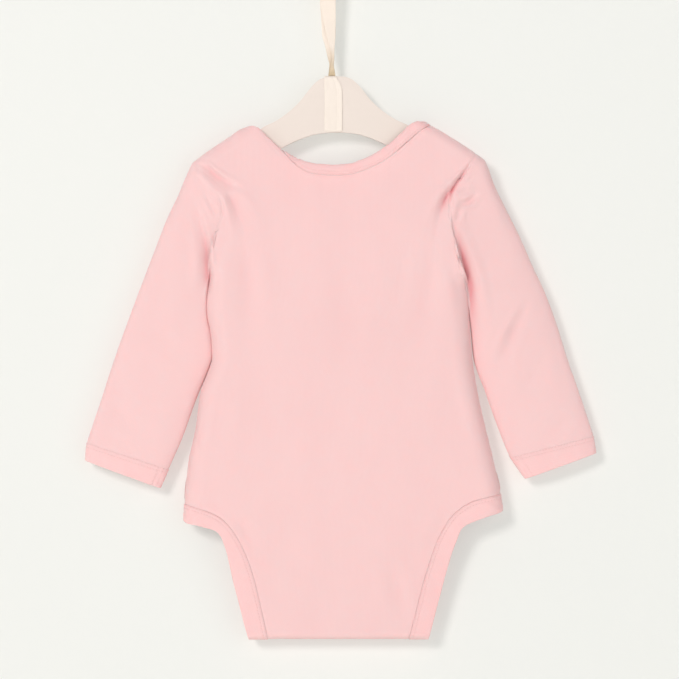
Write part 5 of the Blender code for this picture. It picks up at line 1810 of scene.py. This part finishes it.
@dataclass(frozen=True)
class RibbonFinish(Finish):
    """Fine plain-woven ribbon, with painted shade where it is gathered above the plate.

    Attributes:
        gathered: Colour of the painted shade on the gathered end, standing in for the shadow and warm bounce
            light between its gathered plies, or None.
        shade: Deeper painted shade in random spots there, as a share of that colour.
        end_z: Height of the gathered end, in metres.
        end_height: Height over which that painted shade fades out, in metres.
        pitch: Distance between two threads, in metres.
    """

    gathered: Colour | None = None
    shade: float = 0.62
    end_z: float = -0.0835
    end_height: float = 0.022
    pitch: float = 0.00042

    def build(self) -> bpy.types.Material:
        """The material."""
        graph = Graph(self.name)
        u, v = graph.cloth_uv()
        weave = graph.calc("MULTIPLY", graph.wave(u, self.pitch), graph.wave(v, self.pitch * 1.25))
        weave = graph.total(0.5, (weave, 0.5))
        slub = graph.noise(260.0, 3.0, (1.0, 1.0, 0.3))
        # the weave's height darkens the hollows between threads as painted shade; slub adds random tone
        colour = graph.mix(graph.total(0.0, (weave, 0.5), (slub, 0.5)), self.dark, self.light)
        if self.gathered is not None:
            # painted shade over the gathered end: darker tan with darker random spots, fading out upwards
            above = graph.calc("SUBTRACT", graph.split(graph.place())[2], self.end_z)
            share = graph.calc("DIVIDE", above, self.end_height)
            share.node.use_clamp = True
            spots = graph.calc("POWER", graph.noise(520.0, 2.0, (1.0, 1.0, 0.5)), 1.6)
            hollow_shade = tuple(self.shade * part for part in self.gathered)
            colour = graph.mix(share, graph.mix(spots, hollow_shade, self.gathered), colour)
        return graph.finish(colour, graph.total(0.42, (slub, 0.16)), graph.bump(weave, 0.00003),
                            Sheen_Weight=0.2, Sheen_Roughness=0.3, Specular_IOR_Level=0.45)


# the knits' and ribbons' darker colours are partly painted shade between loops or threads, partly random tone
KNIT = KnitFinish("pink_interlock", (0.925, 0.632, 0.632), (0.855, 0.54, 0.543))
BINDING = KnitFinish("pink_rib_binding", (0.925, 0.624, 0.624), (0.855, 0.533, 0.535),
                     0.0011, 0.0009, 0.00007, 0.08)
THREAD = ThreadFinish("pink_thread", (0.925, 0.6, 0.597), (0.82, 0.49, 0.49))
PLATE = PlateFinish("pale_hanger_plate", (0.795, 0.698, 0.642), (0.765, 0.668, 0.612))
# the ribbon's third colour is the painted shade of its gathered end
RIBBON = RibbonFinish("cream_ribbon", (0.9, 0.79, 0.71), (0.83, 0.72, 0.63), (0.78, 0.6, 0.39))
WRAP = RibbonFinish("cream_wrap", (0.885, 0.79, 0.715), (0.83, 0.725, 0.65))
SNAP = SnapFinish("pink_snap", (0.88, 0.56, 0.54), (0.82, 0.49, 0.47))


# ---------------------------------------------------------------- stage
@dataclass
class Studio:
    """Pale wall and floor, soft light from the upper left, and the camera.

    Attributes:
        wall_y: The wall's distance behind the hanger's middle, in metres.
        floor_z: Height of the floor, in metres.
        size: Width of the wall and the floor.
        aim: Point that the camera looks at.
        distance: The camera's distance from it.
        field: Width of the view there.
        glow: Light that the wall and the floor give themselves.
        mottle: Colour of their darker spots, as a share.
        lamps: Name, place, size, power and colour of each soft light.
    """

    wall_y: float = 0.0165
    floor_z: float = -0.95
    size: float = 9.0
    aim: Colour = (0.0092, 0.0, -0.296)
    distance: float = 2.3
    field: float = 0.5432
    sensor: float = 36.0
    wall_colour: Colour = (0.575, 0.553, 0.535)
    floor_colour: Colour = (0.6, 0.578, 0.55)
    world_colour: Colour = (0.93, 0.935, 0.92)
    world_power: float = 0.3
    glow: Colour = (0.27, 0.295, 0.285)
    mottle: float = 0.985
    lamps: tuple[tuple[str, Colour, float, float, Colour], ...] = (
        ("key", (-1.75, -3.5, 1.15), 1.0, 78.0, (1.0, 0.985, 0.965)),
        ("fill", (2.4, -3.2, 0.0), 3.0, 30.0, (0.97, 0.985, 1.0)),
        ("front", (-0.3, -4.0, -0.5), 3.0, 36.0, (1.0, 1.0, 1.0)),
        ("behind", (0.6, 2.4, 0.5), 2.4, 30.0, (1.0, 0.99, 0.97)),
    )

    def paint(self, name: str, colour: Colour, one_sided: bool) -> bpy.types.Material:
        """Matt paint with a faint roller texture.

        Args:
            name: The material's name.
            colour: Its colour.
            one_sided: Whether it is clear from behind.

        Returns:
            The material.
        """
        graph = Graph(name)
        tone = graph.mix(graph.noise(4.0, 3.0), tuple(self.mottle * part for part in colour), colour)
        made = graph.finish(tone, 0.9, graph.bump(graph.noise(420.0), 0.00005),
                            Specular_IOR_Level=0.1, Emission_Color=self.glow, Emission_Strength=1.0)
        if one_sided:
            mix = graph.node("MixShader")
            behind = graph.node("NewGeometry").outputs["Backfacing"]
            clear = graph.node("BsdfTransparent").outputs[0]
            for source, target in zip((behind, graph.shader.outputs[0], clear), mix.inputs):
                graph.join(source, target)
            graph.join(mix.outputs[0], graph.tree.nodes["Material Output"].inputs["Surface"])
        return made

    def plane(self, name: str, location: Colour, turn: float, paint: bpy.types.Material) -> bpy.types.Object:
        """A large flat plane of the stage.

        Args:
            name: Its name.
            location: Its middle.
            turn: Its turn about x.
            paint: Its material.

        Returns:
            The plane.
        """
        bpy.ops.object.select_all(action="DESELECT")
        bpy.ops.mesh.primitive_plane_add(size=self.size, location=location, rotation=(turn, 0.0, 0.0))
        made = bpy.context.object
        made.name = name
        made.data.materials.append(paint)
        return made

    def lamp(self, name: str, location: Colour, size: float, power: float, colour: Colour) -> None:
        """A square soft light that looks at the garment.

        Args:
            name: Its name.
            location: Its place.
            size: Its width.
            power: Its power, in watts.
            colour: Its colour.
        """
        data = bpy.data.lights.new(name, "AREA")
        data.shape = "SQUARE"
        data.size, data.energy, data.color = size, power, colour
        lamp = bpy.data.objects.new(name, data)
        lamp.location = location
        ahead = np.array(self.aim) - np.array(location)
        lamp.rotation_euler = (math.atan2(math.hypot(ahead[0], ahead[1]), -ahead[2]), 0.0,
                               math.atan2(ahead[1], ahead[0]) - math.pi / 2)
        lamp.visible_camera = False
        bpy.context.scene.collection.objects.link(lamp)

    def build(self) -> None:
        """Adds the stage, the lights, the world and the camera."""
        wall = self.plane("wall", (0.0, self.wall_y, self.floor_z + self.size / 2 - 0.1), math.pi / 2,
                          self.paint("wall_paint", self.wall_colour, True))
        wall.visible_shadow = False
        self.plane("floor", (0.0, 0.0, self.floor_z), 0.0,
                   self.paint("floor_paint", self.floor_colour, False))
        for lamp in self.lamps:
            self.lamp(*lamp)
        world = bpy.data.worlds.new("studio")
        world.use_nodes = True
        sky = world.node_tree.nodes["Background"].inputs
        sky["Color"].default_value = (*self.world_colour, 1.0)
        sky["Strength"].default_value = self.world_power
        bpy.context.scene.world = world
        bpy.context.scene.view_settings.view_transform = "Standard"
        self.camera()

    def camera(self) -> None:
        """Adds the camera straight in front of the hung back."""
        data = bpy.data.cameras.new("camera")
        data.sensor_width = self.sensor
        data.lens = self.sensor * self.distance / self.field
        data.clip_end = 30.0
        camera = bpy.data.objects.new("camera", data)
        camera.location = (self.aim[0], -self.distance, self.aim[2])
        camera.rotation_euler = (math.pi / 2, 0.0, 0.0)
        bpy.context.scene.collection.objects.link(camera)
        bpy.context.scene.camera = camera


@dataclass
class Bodysuit:
    """Builds and dresses every piece."""

    stitch: StitchRow = field(default_factory=StitchRow)
    finishes: dict[str, bpy.types.Material] = field(default_factory=dict)

    def paint(self, finish: Finish) -> bpy.types.Material:
        """The material of a finish, made once."""
        if finish.name not in self.finishes:
            self.finishes[finish.name] = finish.build()
        return self.finishes[finish.name]

    def dress(self, piece: bpy.types.Object, finish: Finish, node: str | None) -> None:
        """Gives a piece its finish and its body, hides the node that it replaces, and logs it.

        Args:
            piece: The finished piece.
            finish: Its finish.
            node: The node that it replaces, or None.
        """
        piece.data.materials.clear()
        piece.data.materials.append(self.paint(finish))
        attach(piece, BODY)
        if node is not None:
            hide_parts(node)
        LOG.info("%s: %d faces", piece.name, len(piece.data.polygons))

    def band(self, name: str, band: Band, rests_on: str, seed: int) -> None:
        """A binding or cuff with its rows of stitches.

        Args:
            name: The node that it replaces.
            band: Its form.
            rests_on: The piece that it is sewn to; not used.
            seed: Seed of the stitches.
        """
        self.dress(band.build(f"{name}_rib"), BINDING, name)
        rows = [(*band.line(distance, STITCH_LIFT), band.closed) for distance in band.rows]
        if band.closing is not None:
            rows.append((band.face[band.closing], band.normals[band.closing], False))
        self.dress(stitched(f"stitches_{name}", rows, self.stitch, seed), THREAD, None)

    def build(self) -> None:
        """All pieces, from the body outwards."""
        for name, panel in (("back_panel", BackPanel()), ("front_panel", FrontPanel())):
            self.dress(panel.build(), KNIT, name)
        for side in Side:
            self.dress(Sleeve(side).build(), KNIT, f"sleeve_{side.word}")
        neck = NeckBindings()
        self.band("neck_binding_back", neck.back(), "back_panel_knit", 61)
        self.band("neck_binding_front", neck.front(), "front_panel_knit", 64)
        for side in Side:
            self.band(f"leg_binding_{side.word}", LegBinding(side).band(), "back_panel_knit", 67 + side.value)
            self.band(f"cuff_{side.word}", Cuff(side).band(), f"sleeve_{side.word}_knit", 71 + side.value)
        self.dress(Hanger().build(), PLATE, "hanger")
        self.dress(RibbonWrap().build(), WRAP, "hanger_wrap")
        self.dress(RibbonLoop().build(), RIBBON, "ribbon")
        for number, x in enumerate(SNAP_X, start=1):
            cap, stud = Snap(number, x).build()
            self.dress(cap, SNAP, f"snap_cap_{number}")
            self.dress(stud, SNAP, f"snap_stud_{number}")


def main() -> None:
    """Builds the stage and the bodysuit."""
    logging.basicConfig(level=logging.INFO, format="%(name)s %(message)s")
    Studio().build()
    Bodysuit().build()


if __name__ == "__main__":
    main()
